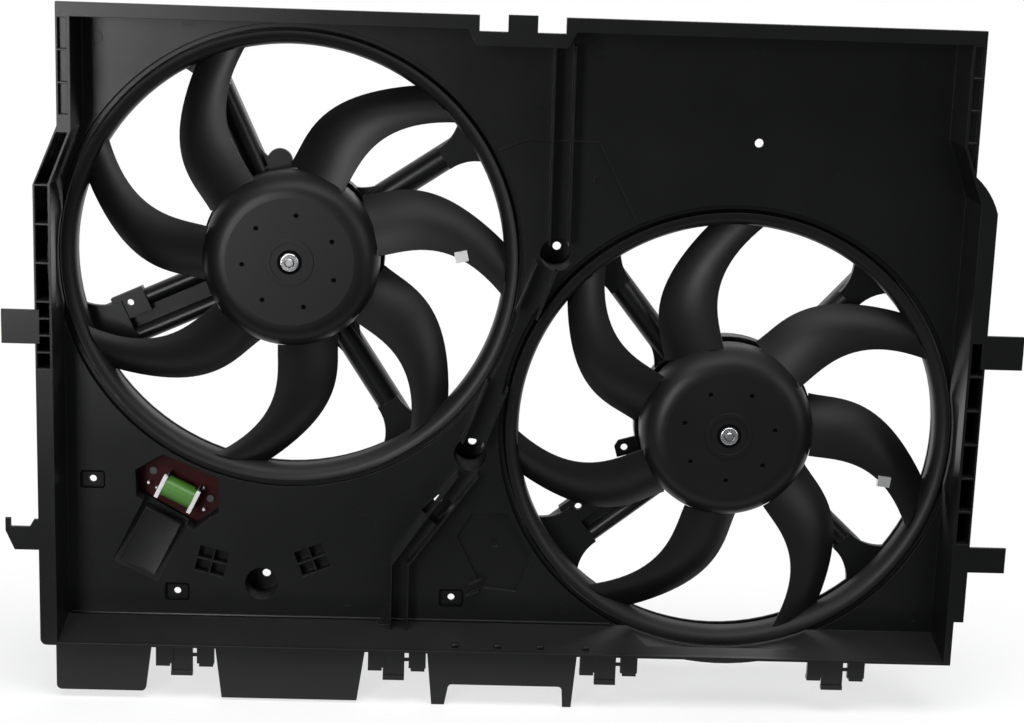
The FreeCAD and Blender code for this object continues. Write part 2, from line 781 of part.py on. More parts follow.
def plate_walls():
    """What stands on the back of the plate: the housings of its recesses."""
    walls = [cup_walls(name) for name in CUPS]
    for name, (x, z) in PADS.items():
        walls.append(slab(f"pad_{name}_wall", rectangle(x, z, "pad_width", "pad_height", "0", "wall"),
                          "tray_depth", "pad_depth + wall"))
    for name, (x, z, turn) in CROSSED.items():
        walls.append(slab(f"crossed_{name}_wall",
                          rectangle(x, z, "crossed_width", "crossed_height", turn, "wall"),
                          "tray_depth", "crossed_depth + wall"))
    walls.append(slab("clip_pocket_wall", rectangle("-64", "124", "26", "20", "45", "wall"),
                      "tray_depth", "crossed_depth + wall"))
    walls.append(slab("panel_wall", grown(PANEL, ("-11", "84"), "1.06"), "tray_depth",
                      "panel_depth + wall"))
    walls.append(slab("pocket_wall", grown(POCKET, ("-311", "133"), "1.07"), "tray_depth",
                      "pocket_depth + wall"))
    walls.append(ramp("ramp_wall", "wall"))
    return walls


def ramp(name, grow):
    """The duct that falls from the plate to the foot of the resistor pocket."""
    solid = doc.addObject("Part::Extrusion", name)
    solid.Base = profile(f"{name}_outline", [
        (f"tray_depth - 1 + {grow}", f"ramp_length + 1 + {grow}"),
        (f"tray_depth - 1 + {grow}", f"-({grow})"),
        (f"tray_depth + {grow}", f"-({grow})"),
        (f"tray_depth + pocket_depth - 6 + {grow}", "ramp_length - 8"),
        (f"tray_depth + pocket_depth - 6 + {grow}", f"ramp_length + 1 + {grow}"),
    ], "side")
    solid.DirMode = "Custom"
    solid.Dir = Vector(1, 0, 0)
    solid.Solid = True
    solid.Symmetric = True
    bind(solid, LengthFwd=f"ramp_width + 2 * {grow}")
    return place(solid, "-350.5", "0", "55", "pocket_turn")


def plate_voids():
    """Every recess and hole of the plate."""
    voids = [void for name in CUPS for void in cup_voids(name)]
    for name, (x, z) in PADS.items():
        voids.append(slab(f"pad_{name}_recess", rectangle(x, z, "pad_width", "pad_height"),
                          "tray_depth - 1", "pad_depth + 1"))
        voids.append(post(f"pad_{name}_hole", "fixing_hole_radius", x, "tray_depth - 1", z, "12"))
    for name, (x, z, turn) in CROSSED.items():
        for index, (across, up) in enumerate(((-1, -1), (1, -1), (1, 1), (-1, 1))):
            along = f"({across} * (crossed_width + rib) / 4)"
            over = f"({up} * (crossed_height + rib) / 4)"
            centre = (f"{x} + {along} * cos({turn}) - {over} * sin({turn})",
                      f"{z} + {along} * sin({turn}) + {over} * cos({turn})")
            voids.append(slab(f"crossed_{name}_{index}",
                              rectangle(*centre, "(crossed_width - rib) / 2",
                                        "(crossed_height - rib) / 2", turn),
                              "tray_depth - 1", "crossed_depth + 1"))
    voids.append(slab("clip_pocket", rectangle("-64", "124", "26", "20", "45"),
                      "tray_depth - 1", "crossed_depth + 1"))
    voids.append(post("clip_pocket_hole", "cup_hole_radius", "-65", "tray_depth", "130", "20"))
    voids.append(post("plate_hole", "plate_hole_radius", "220", "tray_depth - 1", "479", "wall + 2"))
    voids.append(slab("panel_recess", PANEL, "tray_depth - 1", "panel_depth + 1"))
    voids.append(post("panel_dimple", "4", "-10", "tray_depth", "90", "panel_depth + 1.5"))
    voids.append(slab("resistor_pocket", POCKET, "tray_depth - 1", "pocket_depth + 1"))
    voids.append(slab("resistor_outlet", rectangle("core_x", "core_z", "outlet_width", "outlet_height",
                                                     "pocket_turn"),
                      "tray_depth + pocket_depth - 1", "wall + 2"))
    pilots = [post(f"board_pilot_{tag}", "board_screw_radius", f"{sign} * board_screw_reach",
                   "tray_depth", "4", "pocket_depth + 2 * wall")
              for tag, sign in (("left", "-1"), ("right", "1"))]
    voids.append(place(fuse("board_pilots", *pilots), "core_x", "0", "core_z", "pocket_turn"))
    voids.append(ramp("ramp_void", "0"))
    return voids


# ---------------------------------------------------------------- shroud: edge fixings

def lugs():
    left = "-lower_half_width - lug_length + 4"
    right = "lower_half_width - 4"
    hook = slab("lug_lower_left", [
        (f"{left} + 8", "lug_lower_z"),
        ("-lower_half_width + 4", "lug_lower_z"),
        ("-lower_half_width + 4", "lug_lower_z + lug_lower_height + 5"),
        ("-lower_half_width - 4", "lug_lower_z + lug_lower_height + 5"),
        ("-lower_half_width - 8", "lug_lower_z + lug_lower_height - 2"),
        (f"{left} + 5", "lug_lower_z + lug_lower_height - 2"),
        (f"{left} + 5", "lug_lower_z + lug_lower_height + 6"),
        (left, "lug_lower_z + lug_lower_height + 6"),
        (left, "lug_lower_z + lug_lower_height - 6"),
    ], "0", "lug_thickness")
    return [
        block("lug_upper_left", left, "0", "lug_upper_z", "lug_length", "lug_thickness", "lug_height"),
        block("lug_upper_right", right, "0", "lug_upper_z", "lug_length + 4", "lug_thickness",
              "lug_height"),
        block("lug_lower_right", right, "0", "lug_lower_z", "lug_length + 4", "lug_thickness",
              "lug_lower_height"),
        hook,
    ]


def flaps():
    return [
        slab("flap_left", [("-415", "1"), ("-415", "-38", "5"), ("-410", "-43"),
                           ("-336", "-43", "5"), ("-332", "-38"), ("-327", "1")],
             "0", "flap_thickness"),
        slab("flap_middle", [("-268", "1"), ("-262", "-48"), ("-136", "-48"), ("-129", "1")],
             "0", "flap_thickness"),
        slab("flap_right", [("-71", "1"), ("-66", "-50"), ("-54", "-50"), ("-51", "-34", "-4"),
                            ("-47", "-30"), ("52", "-30", "-4"), ("56", "-34"), ("57", "-50"),
                            ("65", "-50"), ("69", "1")],
             "0", "flap_thickness"),
    ]


SNAP_CENTRES = ("-298", "-101", "97", "311")


def snap_clip(index, x):
    """A sprung latch between two feet, under the bottom rim."""
    feet = [
        block(f"snap_{index}_foot_{tag}", f"{x} + {offset}", "0", "-15", "clip_foot_width", "5", "16")
        for tag, offset in (("left", "(-latch_width / 2 - clip_foot_width + 1)"),
                            ("right", "(latch_width / 2 + 3)"))
    ]
    toes = [
        block(f"snap_{index}_toe_{tag}", f"{x} + {offset}", "0", "-18", "clip_foot_width - 3", "8", "4")
        for tag, offset in (("left", "(-latch_width / 2 - clip_foot_width + 1)"),
                            ("right", "(latch_width / 2 + 5)"))
    ]
    latch = block(f"snap_{index}_latch", f"{x} - latch_width / 2 - 1", "2", "-24", "latch_width", "2.5",
                  "25")
    barb = block(f"snap_{index}_barb", f"{x} - latch_width / 2 - 1", "0", "-27", "latch_width", "6", "4")
    bridge = block(f"snap_{index}_bridge", f"{x} - latch_width / 2 - clip_foot_width + 1", "2.5", "-9",
                   "latch_width + 2 * clip_foot_width + 2", "2", "3")
    return feet + toes + [latch, barb, bridge]


def floor_slope(name, start, foot):
    """A wedge along the whole floor, which rises toward the plate."""
    return beam(name, [
        (start, foot),
        (start, f"{foot} - 5"),
        ("tray_depth + 2 * wall", f"{foot} - 5"),
        ("tray_depth + 2 * wall", f"{foot} + floor_rise"),
    ], "-lower_half_width - 10", "2 * lower_half_width + 20")


def shroud():
    underside = floor_slope("floor_underside", "flange_depth", "0")
    tray = cut("tray_sloped", slab("tray_block", tray_outline("wall"), "0", "tray_depth + wall"),
               underside)
    tab = block("notch_tab", "-tab_width / 2 - 1", "0", "shroud_height - notch_depth - 4",
                "tab_width", "wall", "tab_height + 3")
    body = fuse("shroud_block", shroud_rim(), tray, barrel_wall("left"), barrel_wall("right"),
                *plate_walls())
    cavity = cut("tray_hollow", slab("tray_cavity", tray_outline("0"), "-1", "tray_depth + 1"),
                 floor_slope("floor_inside", "flange_depth - wall", "wall"))
    tray_shell = cut("tray_shell", body, fuse("tray_voids", cavity, barrel_bore("left"),
                                              barrel_bore("right")))
    fittings = [tab, carrier("left"), carrier("right")]
    fittings += twin_ribs() + step_bead() + lugs() + flaps() + snap_bars()
    fittings.append(cut("foot_ribs", fuse("foot_ribs_tall", *foot_ribs()), underside))
    for index, x in enumerate(SNAP_CENTRES):
        fittings += snap_clip(index, x)
    solid = fuse("shroud_solid", tray_shell, *fittings)
    return cut("shroud_moulding", solid, fuse("plate_voids", *plate_voids()))


node("shroud", shroud())


# ---------------------------------------------------------------- fans

def blade_section(reach):
    """One flat section of a blade, `reach` out from the axis along the blade's own direction."""
    size = {alias: value(alias) for alias in SIZES if alias.startswith("blade_")}
    tip = value("swept_radius")
    lead_from = size["blade_lead_root"] + size["blade_lead_sweep"] * max(reach / tip - 0.457, 0) ** 3 / 0.163
    trail_to = (size["blade_trail_root"]
                - size["blade_trail_sweep"] * max(reach / tip - 0.508, 0) ** 2.2 / 0.212)
    share = reach / tip
    root = value("hub_radius") / tip
    back = size["blade_root_back"] + (size["blade_tip_back"] - size["blade_root_back"]) * (
        (share - root) / (1 - root))
    lead = Vector(reach, size["blade_front"], -lead_from)
    trail = Vector(reach, back, trail_to)
    chord = trail - lead
    outward = Vector(0, -chord.z, chord.y).normalize()
    steps = (0.0, 0.12, 0.35, 0.65, 0.88, 1.0)
    faces = []
    for side in (0.5, -0.5):
        points = []
        for step in steps:
            bow = 4 * step * (1 - step)
            thickness = size["blade_edge"] + (size["blade_thickness"] - size["blade_edge"]) * bow
            points.append(lead + chord * step
                          + outward * (size["blade_camber"] * bow + side * thickness))
        curve = Part.BSplineCurve()
        curve.interpolate(points)
        faces.append((curve.toShape(), points))
    (upper, upper_points), (lower, lower_points) = faces
    ends = [Part.makeLine(upper_points[index], lower_points[index]) for index in (0, -1)]
    return Part.Wire([upper, ends[1], lower, ends[0]])


def blade():
    """One blade, from inside the hub wall to inside the ring."""
    tip = value("swept_radius")
    root = value("hub_radius") - value("hub_wall") * 3
    reaches = (root, tip * 0.52, tip * 0.66, tip * 0.79, tip * 0.9, tip * 1.02)
    loft = Part.makeLoft([blade_section(reach) for reach in reaches], True, False)
    length = value("blade_root_back") - value("blade_front") + 60
    start = Vector(0, value("blade_front") - 30, 0)
    outer = Part.makeCylinder(tip + value("ring_wall") / 2, length, start, REAR)
    inner = Part.makeCylinder(value("hub_radius") - value("hub_wall") / 2, length, start, REAR)
    return loft.common(outer).cut(inner)


def blade_angles():
    """The turn of each blade, counter-clockwise from the first."""
    angles = [0.0]
    for step in BLADE_STEPS:
        angles.append(angles[-1] + step)
    return angles


BLADE_LEAN = 14.7


def blades(name):
    single = blade()
    copies = []
    for angle in blade_angles():
        copy = single.copy()
        copy.rotate(Vector(0, 0, 0), FRONT, angle + BLADE_LEAN)
        copies.append(copy)
    feature = doc.addObject("Part::Feature", name)
    feature.Shape = Part.makeCompound(copies)
    return feature


def fan_hub(side):
    inner = "(hub_radius - hub_wall)"
    inner_front = "(hub_front + hub_wall)"
    cup = turned(f"hub_cup_{side}", [
        ("insert_radius", "hub_front"),
        ("hub_radius - hub_shoulder", "hub_front", "hub_shoulder"),
        ("hub_radius", "hub_front + hub_shoulder"),
        ("hub_radius", "hub_back"),
        (inner, "hub_back"),
        (inner, f"{inner_front} + hub_shoulder - hub_wall", "-(hub_shoulder - hub_wall)"),
        ("hub_radius - hub_shoulder", inner_front),
        ("boss_radius", inner_front),
        ("boss_radius", "boss_back"),
        ("insert_radius", "boss_back"),
    ])
    raised = turned(f"hub_face_ring_{side}", [
        ("hub_ring_radius - hub_ring_width", "hub_front - hub_ring_rise"),
        ("hub_ring_radius", "hub_front - hub_ring_rise"),
        ("hub_ring_radius", "hub_front + hub_wall / 2"),
        ("hub_ring_radius - hub_ring_width", "hub_front + hub_wall / 2"),
    ])
    ribs = []
    for index in range(HUB_RIBS):
        turn = f"({index} * 360 / {HUB_RIBS})"
        ribs.append(block(f"hub_rib_{side}_{index}",
                          f"(boss_radius - 1) * cos({turn}) + rib / 2 * sin({turn})",
                          "hub_front + hub_wall / 2",
                          f"(boss_radius - 1) * sin({turn}) - rib / 2 * cos({turn})",
                          "hub_radius - hub_shoulder - boss_radius", "hub_rib_depth", "rib", turn))
    dimples = []
    angles = [*blade_angles(), 360.0]
    for index in range(DIMPLES):
        between = (angles[index] + angles[index + 1]) / 2 + DIMPLE_LEAN
        x, z = circle_point("dimple_circle", str(between))
        dimples.append(post(f"dimple_{side}_{index}", "dimple_radius", x, "hub_front - 1", z,
                            "dimple_depth + 1"))
    return cut(f"hub_{side}", fuse(f"hub_walls_{side}", cup, raised, *ribs),
               fuse(f"dimples_{side}", *dimples))


def fan_ring(side):
    outer = "(swept_radius + ring_wall)"
    flare = "(lip_radius - swept_radius - ring_wall)"
    return turned(f"fan_ring_{side}", [
        ("swept_radius", "ring_back"),
        ("swept_radius", f"lip_front + {flare} + ring_wall", f"{flare} + ring_wall"),
        (f"{outer} + {flare}", "lip_front"),
        (f"{outer} + {flare}", "lip_front + ring_wall", f"-{flare}"),
        (outer, f"lip_front + ring_wall + {flare}"),
        (outer, "ring_back"),
    ])


def fan(side):
    solid = fuse(f"fan_solid_{side}", fan_hub(side), fan_ring(side), blades(f"blades_{side}"))
    return on_axis(solid, side, f"fan_{side}_turn")


def hub_insert(side):
    """The metal bush moulded into the hub; the shaft is pressed into it."""
    return turned(f"hub_insert_body_{side}", [
        ("shaft_radius", "hub_front"),
        ("insert_radius", "hub_front"),
        ("insert_radius", "boss_back"),
        ("shaft_radius", "boss_back"),
    ])


def shaft(side):
    return turned(f"shaft_body_{side}", [
        ("0", "shaft_front"),
        ("shaft_radius - 0.8", "shaft_front"),
        ("shaft_radius", "shaft_front + 0.8"),
        ("shaft_radius", "shaft_back"),
        ("0", "shaft_back"),
    ])


def lock_ring(side):
    """The toothed ring pressed on the shaft in front of the hub."""
    return turned(f"lock_ring_body_{side}", [
        ("shaft_radius", "hub_front - 1.2"),
        ("shaft_radius + 1", "hub_front - 2.6"),
        ("lock_ring_radius - 1.2", "hub_front - 2.6", "1.2"),
        ("lock_ring_radius", "hub_front - 1.4"),
        ("lock_ring_radius", "hub_front"),
        ("shaft_radius", "hub_front"),
    ])


def balance_clip(side):
    """A steel clip pushed on the front edge of one blade."""
    edge = "(blade_lead_root + blade_lead_sweep * (clip_reach / swept_radius - 0.457)^3 / 0.163)"
    body = block(f"clip_block_{side}", "clip_reach - clip_length / 2",
                 "blade_front - clip_height / 2", f"-{edge} - 1.2",
                 "clip_length", "clip_height", "clip_depth")
    turned_body = place(fuse(f"clip_turn_{side}", body, block(
        f"clip_back_{side}", "clip_reach - clip_length / 2", "blade_front - clip_height / 2",
        f"-{edge} - 1.2", "clip_length", "clip_height", "1")),
        turn=f"{blade_angles()[CLIP_BLADE]} + {BLADE_LEAN}")
    return cut(f"clip_body_{side}", turned_body, doc.getObject(f"blades_{side}"))


FAN_PIECES = {
    "hub_insert": hub_insert,
    "shaft": shaft,
    "shaft_lock_ring": lock_ring,
    "balance_clip": balance_clip,
}


# ---------------------------------------------------------------- motors

def motor_can(side):
    """The drawn steel can, with the front bearing in its nose."""
    nose = "(bearing_radius + can_wall)"
    return turned(f"can_body_{side}", [
        ("shaft_radius + 2", "nose_front"),
        (nose, "nose_front"),
        (nose, "can_front"),
        ("can_radius - 3", "can_front", "3"),
        ("can_radius", "can_front + 3"),
        ("can_radius", "can_back"),
        ("can_radius - can_wall", "can_back"),
        ("can_radius - can_wall", "can_front + can_wall"),
        ("bearing_radius", "can_front + can_wall"),
        ("bearing_radius", "nose_front + can_wall"),
        ("shaft_radius + 2", "nose_front + can_wall"),
    ])


def bearing(side, end, start):
    return turned(f"bearing_{end}_body_{side}", [
        ("shaft_radius + shaft_running_gap", start),
        ("bearing_radius", start),
        ("bearing_radius", f"{start} + bearing_width"),
        ("shaft_radius + shaft_running_gap", f"{start} + bearing_width"),
    ])


def end_cap(side):
    """The cap pressed into the open end of the can; it holds the rear bearing."""
    spigot = "(can_radius - can_wall)"
    housing = "(bearing_radius + cap_thickness)"
    return turned(f"end_cap_body_{side}", [
        (f"{spigot} - 2", "can_back - 3"),
        (spigot, "can_back - 3"),
        (spigot, "can_back"),
        ("can_radius", "can_back"),
        ("can_radius", "can_back + cap_thickness"),
        (f"{housing} + 4", "can_back + cap_thickness"),
        (housing, "can_back + cap_thickness + 4"),
        (housing, "can_back + bearing_width + cap_thickness + 2"),
        ("0", "can_back + bearing_width + cap_thickness + 2"),
        ("0", "can_back + bearing_width + 2"),
        ("bearing_radius - 2", "can_back + bearing_width + 2"),
        ("bearing_radius - 2", "can_back + bearing_width"),
        ("bearing_radius", "can_back + bearing_width"),
        ("bearing_radius", "can_back"),
        (f"{spigot} - 2", "can_back"),
    ])


def magnets(side):
    outer = "(can_radius - can_wall)"
    arcs = []
    for index in range(MAGNETS):
        arc = turned(f"magnet_{side}_{index}", [
            (f"{outer} - magnet_thickness", "magnet_front"),
            (outer, "magnet_front"),
            (outer, "magnet_back"),
            (f"{outer} - magnet_thickness", "magnet_back"),
        ])
        bind(arc, Angle="magnet_angle")
        arcs.append(place(arc, turn=f"{index} * 360 / {MAGNETS}"))
    return fuse(f"magnets_body_{side}", *arcs)


ARMATURE_RADIUS = "(can_radius - can_wall - magnet_thickness - armature_gap)"


def slot_blocks(name, side, reach):
    """One radial block in each slot of the armature, out to `reach`."""
    blocks = []
    for index in range(ARMATURE_SLOTS):
        turn = f"({index} * 360 / {ARMATURE_SLOTS})"
        inner = "(winding_radius / 2)"
        blocks.append(block(f"{name}_{side}_{index}",
                            f"{inner} * cos({turn}) + armature_slot / 2 * sin({turn})",
                            "armature_front",
                            f"{inner} * sin({turn}) - armature_slot / 2 * cos({turn})",
                            f"{reach} - {inner}", "armature_back - armature_front",
                            "armature_slot", turn))
    return blocks


def armature(side):
    core = turned(f"armature_core_{side}", [
        ("shaft_radius", "armature_front"),
        (ARMATURE_RADIUS, "armature_front"),
        (ARMATURE_RADIUS, "armature_back"),
        ("shaft_radius", "armature_back"),
    ])
    slots = fuse(f"armature_slots_{side}", *slot_blocks("slot", side, f"{ARMATURE_RADIUS} + 1"))
    return cut(f"armature_body_{side}", core, slots)


def windings(side):
    ends = []
    for end, start in (("front", "armature_front - winding_overhang"), ("rear", "armature_back")):
        ends.append(turned(f"winding_{end}_{side}", [
            ("commutator_radius", start),
            ("winding_radius", start),
            ("winding_radius", f"{start} + winding_overhang"),
            ("commutator_radius", f"{start} + winding_overhang"),
        ]))
    return fuse(f"windings_body_{side}", *ends, *slot_blocks("wire", side, "winding_radius"))


def commutator(side):
    return turned(f"commutator_body_{side}", [
        ("shaft_radius", "commutator_front"),
        ("commutator_radius + 2", "commutator_front"),
        ("commutator_radius + 2", "commutator_front + 1.5"),
        ("commutator_radius", "commutator_front + 1.5"),
        ("commutator_radius", "commutator_back"),
        ("shaft_radius", "commutator_back"),
    ])


def brush_card(side):
    """The plate behind the commutator, with two brushes in their boxes."""
    card = turned(f"brush_plate_{side}", [
        ("commutator_radius + 5", "can_back - 6"),
        ("can_radius - can_wall", "can_back - 6"),
        ("can_radius - can_wall", "can_back - 3"),
        ("commutator_radius + 5", "can_back - 3"),
    ])
    boxes = []
    for tag, start in (("right", "1"), ("left", "-1")):
        near = f"({start} * (commutator_radius + brush_gap))"
        box = "(brush_length / 2)"
        boxes.append(block(f"brush_{tag}_{side}", near if start == "1" else f"{near} - brush_length",
                           "can_back - 6 - brush_width", "-brush_width / 2",
                           "brush_length", "brush_width + 1", "brush_width"))
        boxes.append(block(f"brush_box_{tag}_{side}",
                           f"{near} + {box}" if start == "1" else f"{near} - brush_length - 2",
                           "can_back - 8 - brush_width", "-brush_width / 2 - 1.5",
                           f"{box} + 2", "brush_width + 3", "brush_width + 3"))
    return fuse(f"brush_card_body_{side}", card, *boxes)


def bracket(side):
    """The steel ring welded round the can, with an ear for each screw."""
    solid = turned(f"bracket_ring_{side}", [
        ("can_radius", "motor_seat + wall"),
        ("can_radius + 6", "motor_seat + wall"),
        ("can_radius + 6", "motor_seat + wall + bracket_thickness"),
        ("can_radius", "motor_seat + wall + bracket_thickness"),
    ])
    ears = []
    holes = [post(f"bracket_bore_{side}", "can_radius", "0", "motor_seat", "0", "12")]
    for index, angle in enumerate(SCREW_ANGLES):
        x, z = circle_point("screw_circle", angle)
        ear = slab(f"bracket_ear_{side}_{index}", [
            ("can_radius - 4", "-screw_circle / 4"),
            ("screw_circle", "-screw_head_radius - 3", "screw_head_radius + 3"),
            ("screw_circle + screw_head_radius + 3", "0", "screw_head_radius + 3"),
            ("screw_circle", "screw_head_radius + 3"),
            ("can_radius - 4", "screw_circle / 4"),
        ], "motor_seat + wall", "bracket_thickness")
        ears.append(place(ear, turn=str(angle)))
        holes.append(post(f"bracket_hole_{side}_{index}", "screw_radius + screw_hole_gap", x,
                          "motor_seat", z, "12"))
    return cut(f"bracket_body_{side}", fuse(f"bracket_plate_{side}", solid, *ears),
               fuse(f"bracket_holes_{side}", *holes))


def motor_screws(side):
    """Three flanged screws through the bracket into the bosses of the carrier."""
    seat = "(motor_seat + wall + bracket_thickness)"
    screws = []
    for index, angle in enumerate(SCREW_ANGLES):
        x, z = circle_point("screw_circle", angle)
        shank = post(f"screw_shank_{side}_{index}", "screw_radius - screw_fit", x, "motor_seat - 5.5",
                     z, f"{seat} - motor_seat + 6")
        flange = post(f"screw_flange_{side}_{index}", "screw_head_radius", x, seat, z, "1.2")
        corners = []
        for corner in range(6):
            corners.append((f"{x} + (screw_head_radius - 0.6) * cos({corner * 60})",
                            f"{z} + (screw_head_radius - 0.6) * sin({corner * 60})"))
        head = slab(f"screw_head_{side}_{index}", corners, seat, "screw_head_height")
        screws.append(fuse(f"screw_{side}_{index}", shank, flange, head))
    return fuse(f"screws_body_{side}", *screws)


def socket(name, length, width, height, pins):
    """A plug inlet along +X from the origin: a walled socket with its pins."""
    shell = block(f"{name}_shell", "0", f"-({height}) / 2", f"-({width}) / 2", length, height, width)
    cavity = block(f"{name}_cavity", "inlet_wall * 3", f"-({height}) / 2 + inlet_wall",
                   f"-({width}) / 2 + inlet_wall", length, f"{height} - 2 * inlet_wall",
                   f"{width} - 2 * inlet_wall")
    body = cut(f"{name}_hollow", shell, cavity)
    blades_in = [
        block(f"{name}_pin_{index}", "inlet_wall", "-0.4",
              f"({index} + 0.5) * ({width} - 2 * inlet_wall) / {pins} - ({width}) / 2 + inlet_wall - 1.4",
              f"{length} - inlet_wall - 3", "0.8", "2.8")
        for index in range(pins)
    ]
    ridge = block(f"{name}_ridge", "inlet_wall * 2", f"({height}) / 2 - 0.5", "-3",
                  f"{length} - inlet_wall * 3", "2.2", "6")
    return fuse(f"{name}_body", body, ridge, *blades_in)


def motor_inlet(side):
    inlet = socket(f"motor_inlet_{side}", "inlet_length", "inlet_width", "inlet_height", 2)
    place(inlet, "can_radius - 3", "can_back - inlet_height / 2 - 3", "0")
    trimmed = cut(f"motor_inlet_trim_{side}", inlet,
                  post(f"motor_inlet_trim_tool_{side}", "can_radius", "0", "can_back - 40", "0", "60"))
    return trimmed


MOTOR_PIECES = {
    "motor_can": motor_can,
    "bearing_front": lambda side: bearing(side, "front", "nose_front + can_wall"),
    "bearing_rear": lambda side: bearing(side, "rear", "can_back"),
    "motor_end_cap": end_cap,
    "magnets": magnets,
    "armature": armature,
    "windings": windings,
    "commutator": commutator,
    "brush_card": brush_card,
}
CARRIER_PIECES = {
    "motor_bracket": bracket,
    "motor_screws": motor_screws,
}

for side in SIDES:
    node(f"fan_{side}", fan(side))
    for name, make in FAN_PIECES.items():
        node(f"{name}_{side}", on_axis(make(side), side, f"fan_{side}_turn"))
    for name, make in MOTOR_PIECES.items():
        node(f"{name}_{side}", on_axis(make(side), side))
    for name, make in CARRIER_PIECES.items():
        node(f"{name}_{side}", on_axis(make(side), side, f"carrier_{side}_turn"))
    cable_turn = f"carrier_{side}_turn + {STRUT_ANGLES[WIDE_STRUT]}"
    node(f"motor_connector_{side}", on_axis(motor_inlet(side), side, cable_turn))


# ---------------------------------------------------------------- speed resistor

FLOOR = "(tray_depth + pocket_depth)"
BOARD_FRONT = "(tray_depth + pocket_depth - board_thickness)"


def at_core(item):
    return place(item, "core_x", "0", "core_z", "pocket_turn")


def resistor_board():
    board = slab("board_plate", grown(POCKET, ("-311", "133"), "0.97"), BOARD_FRONT, "board_thickness")
    holes = [post(f"board_hole_{tag}", "board_screw_radius + screw_hole_gap",
                  f"{sign} * board_screw_reach", "tray_depth", "4", "40")
             for tag, sign in (("left", "-1"), ("right", "1"))]
    return cut("board_body", board, at_core(fuse("board_holes", *holes)))


def resistor_core():
    """The wound core: a coated barrel on a thinner former."""
    centre = f"({BOARD_FRONT} - core_foot_gap - core_radius)"

    def round_bar(name, radius, length):
        return beam(name, [
            (f"{centre} + {radius}", "0", radius),
            (centre, radius, radius),
            (f"{centre} - {radius}", "0", radius),
            (centre, f"-({radius})", radius),
        ], f"-({length}) / 2", length)

    return at_core(fuse("core_body", round_bar("core_barrel", "core_radius", "core_length - 3"),
                        round_bar("core_former", "core_radius - 2", "core_length")))


def resistor_clips():
    """Two bent end clips on the board, and the two pins beside them."""
    centre = f"({BOARD_FRONT} - core_foot_gap - core_radius)"
    front = f"({centre} - core_radius - 1)"
    pieces = []
    for tag, sign in (("left", "-1"), ("right", "1")):
        near = "core_length / 2" if sign == "1" else "-core_length / 2 - end_clip"
        flange = "core_length / 2" if sign == "1" else "-core_length / 2 - end_clip_flange"
        pieces.append(block(f"end_clip_{tag}", near, front, "-end_clip_height / 2", "end_clip",
                            f"{BOARD_FRONT} - {front}", "end_clip_height"))
        pieces.append(block(f"end_clip_flange_{tag}", flange, front, "-end_clip_height / 2",
                            "end_clip_flange", "end_clip", "end_clip_height"))
        pieces.append(block(f"end_clip_foot_{tag}", flange, f"{BOARD_FRONT} - end_clip", "-6",
                            "end_clip_flange", "end_clip", "12"))
        pieces.append(post(f"board_pin_{tag}", "1.4", f"{sign} * (board_screw_reach - 1)",
                           f"{BOARD_FRONT} - 8", "-7", "8"))
    return at_core(fuse("clips_body", *pieces))


def resistor_screws():
    screws = []
    for tag, sign in (("left", "-1"), ("right", "1")):
        reach = f"{sign} * board_screw_reach"
        screws.append(post(f"board_screw_{tag}", "board_screw_radius - screw_fit", reach,
                           f"{BOARD_FRONT} - 0.5", "4", "board_thickness + 0.5 + wall"))
        screws.append(post(f"board_screw_head_{tag}", "board_screw_head", reach,
                           f"{BOARD_FRONT} - 2", "4", "2"))
    return at_core(fuse("board_screws_body", *screws))


def resistor_connector():
    """The plug inlet of the resistor, through the outlet in the floor of its pocket."""
    inlet = socket("resistor_inlet", "wall + socket_length", "outlet_width - 2 * screw_hole_gap",
                   "outlet_height - 2 * screw_hole_gap", 3)
    inlet.Placement = FreeCAD.Placement(Vector(0, 0, 0), Rotation(Vector(0, 0, 1), 90)
                                        * Rotation(Vector(1, 0, 0), 90))
    bind(inlet, Placement__Base__y=FLOOR)
    return at_core(wrapped("resistor_inlet_turn", inlet))


node("resistor_board", resistor_board())
node("resistor_core", resistor_core())
node("resistor_clips", resistor_clips())
node("resistor_screws", resistor_screws())
node("resistor_connector", resistor_connector())


# ---------------------------------------------------------------- checks and export

doc.recompute()


def check_and_export():
    for item in doc.Objects:
        if {"Invalid", "Error"} & set(item.State):
            raise RuntimeError(f"{item.Name} ({item.Label}) failed: {item.State}")
    os.makedirs("parts", exist_ok=True)
    for name, item in NODES.items():
        if item.Shape.isNull() or not item.Shape.isValid():
            raise RuntimeError(f"{name} has no valid shape")
        item.Shape.exportStep(f"parts/{name}.step")
        print(f"{name}: {len(item.Shape.Solids)} solid(s), {item.Shape.Volume / 1000:.1f} cm3")


check_and_export()
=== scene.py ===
# %% [markdown]
# # Radiator fan shroud with two fans
# A moulded shroud seats on the back of a car's radiator and ducts the air to two motor-driven fans.
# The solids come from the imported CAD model: they are loaded here as they are, and dressed with
# finishes and with the small moulded and stamped details that solids leave out.

# %% Load the solids
import math

import bpy
from mathutils import Matrix, Vector


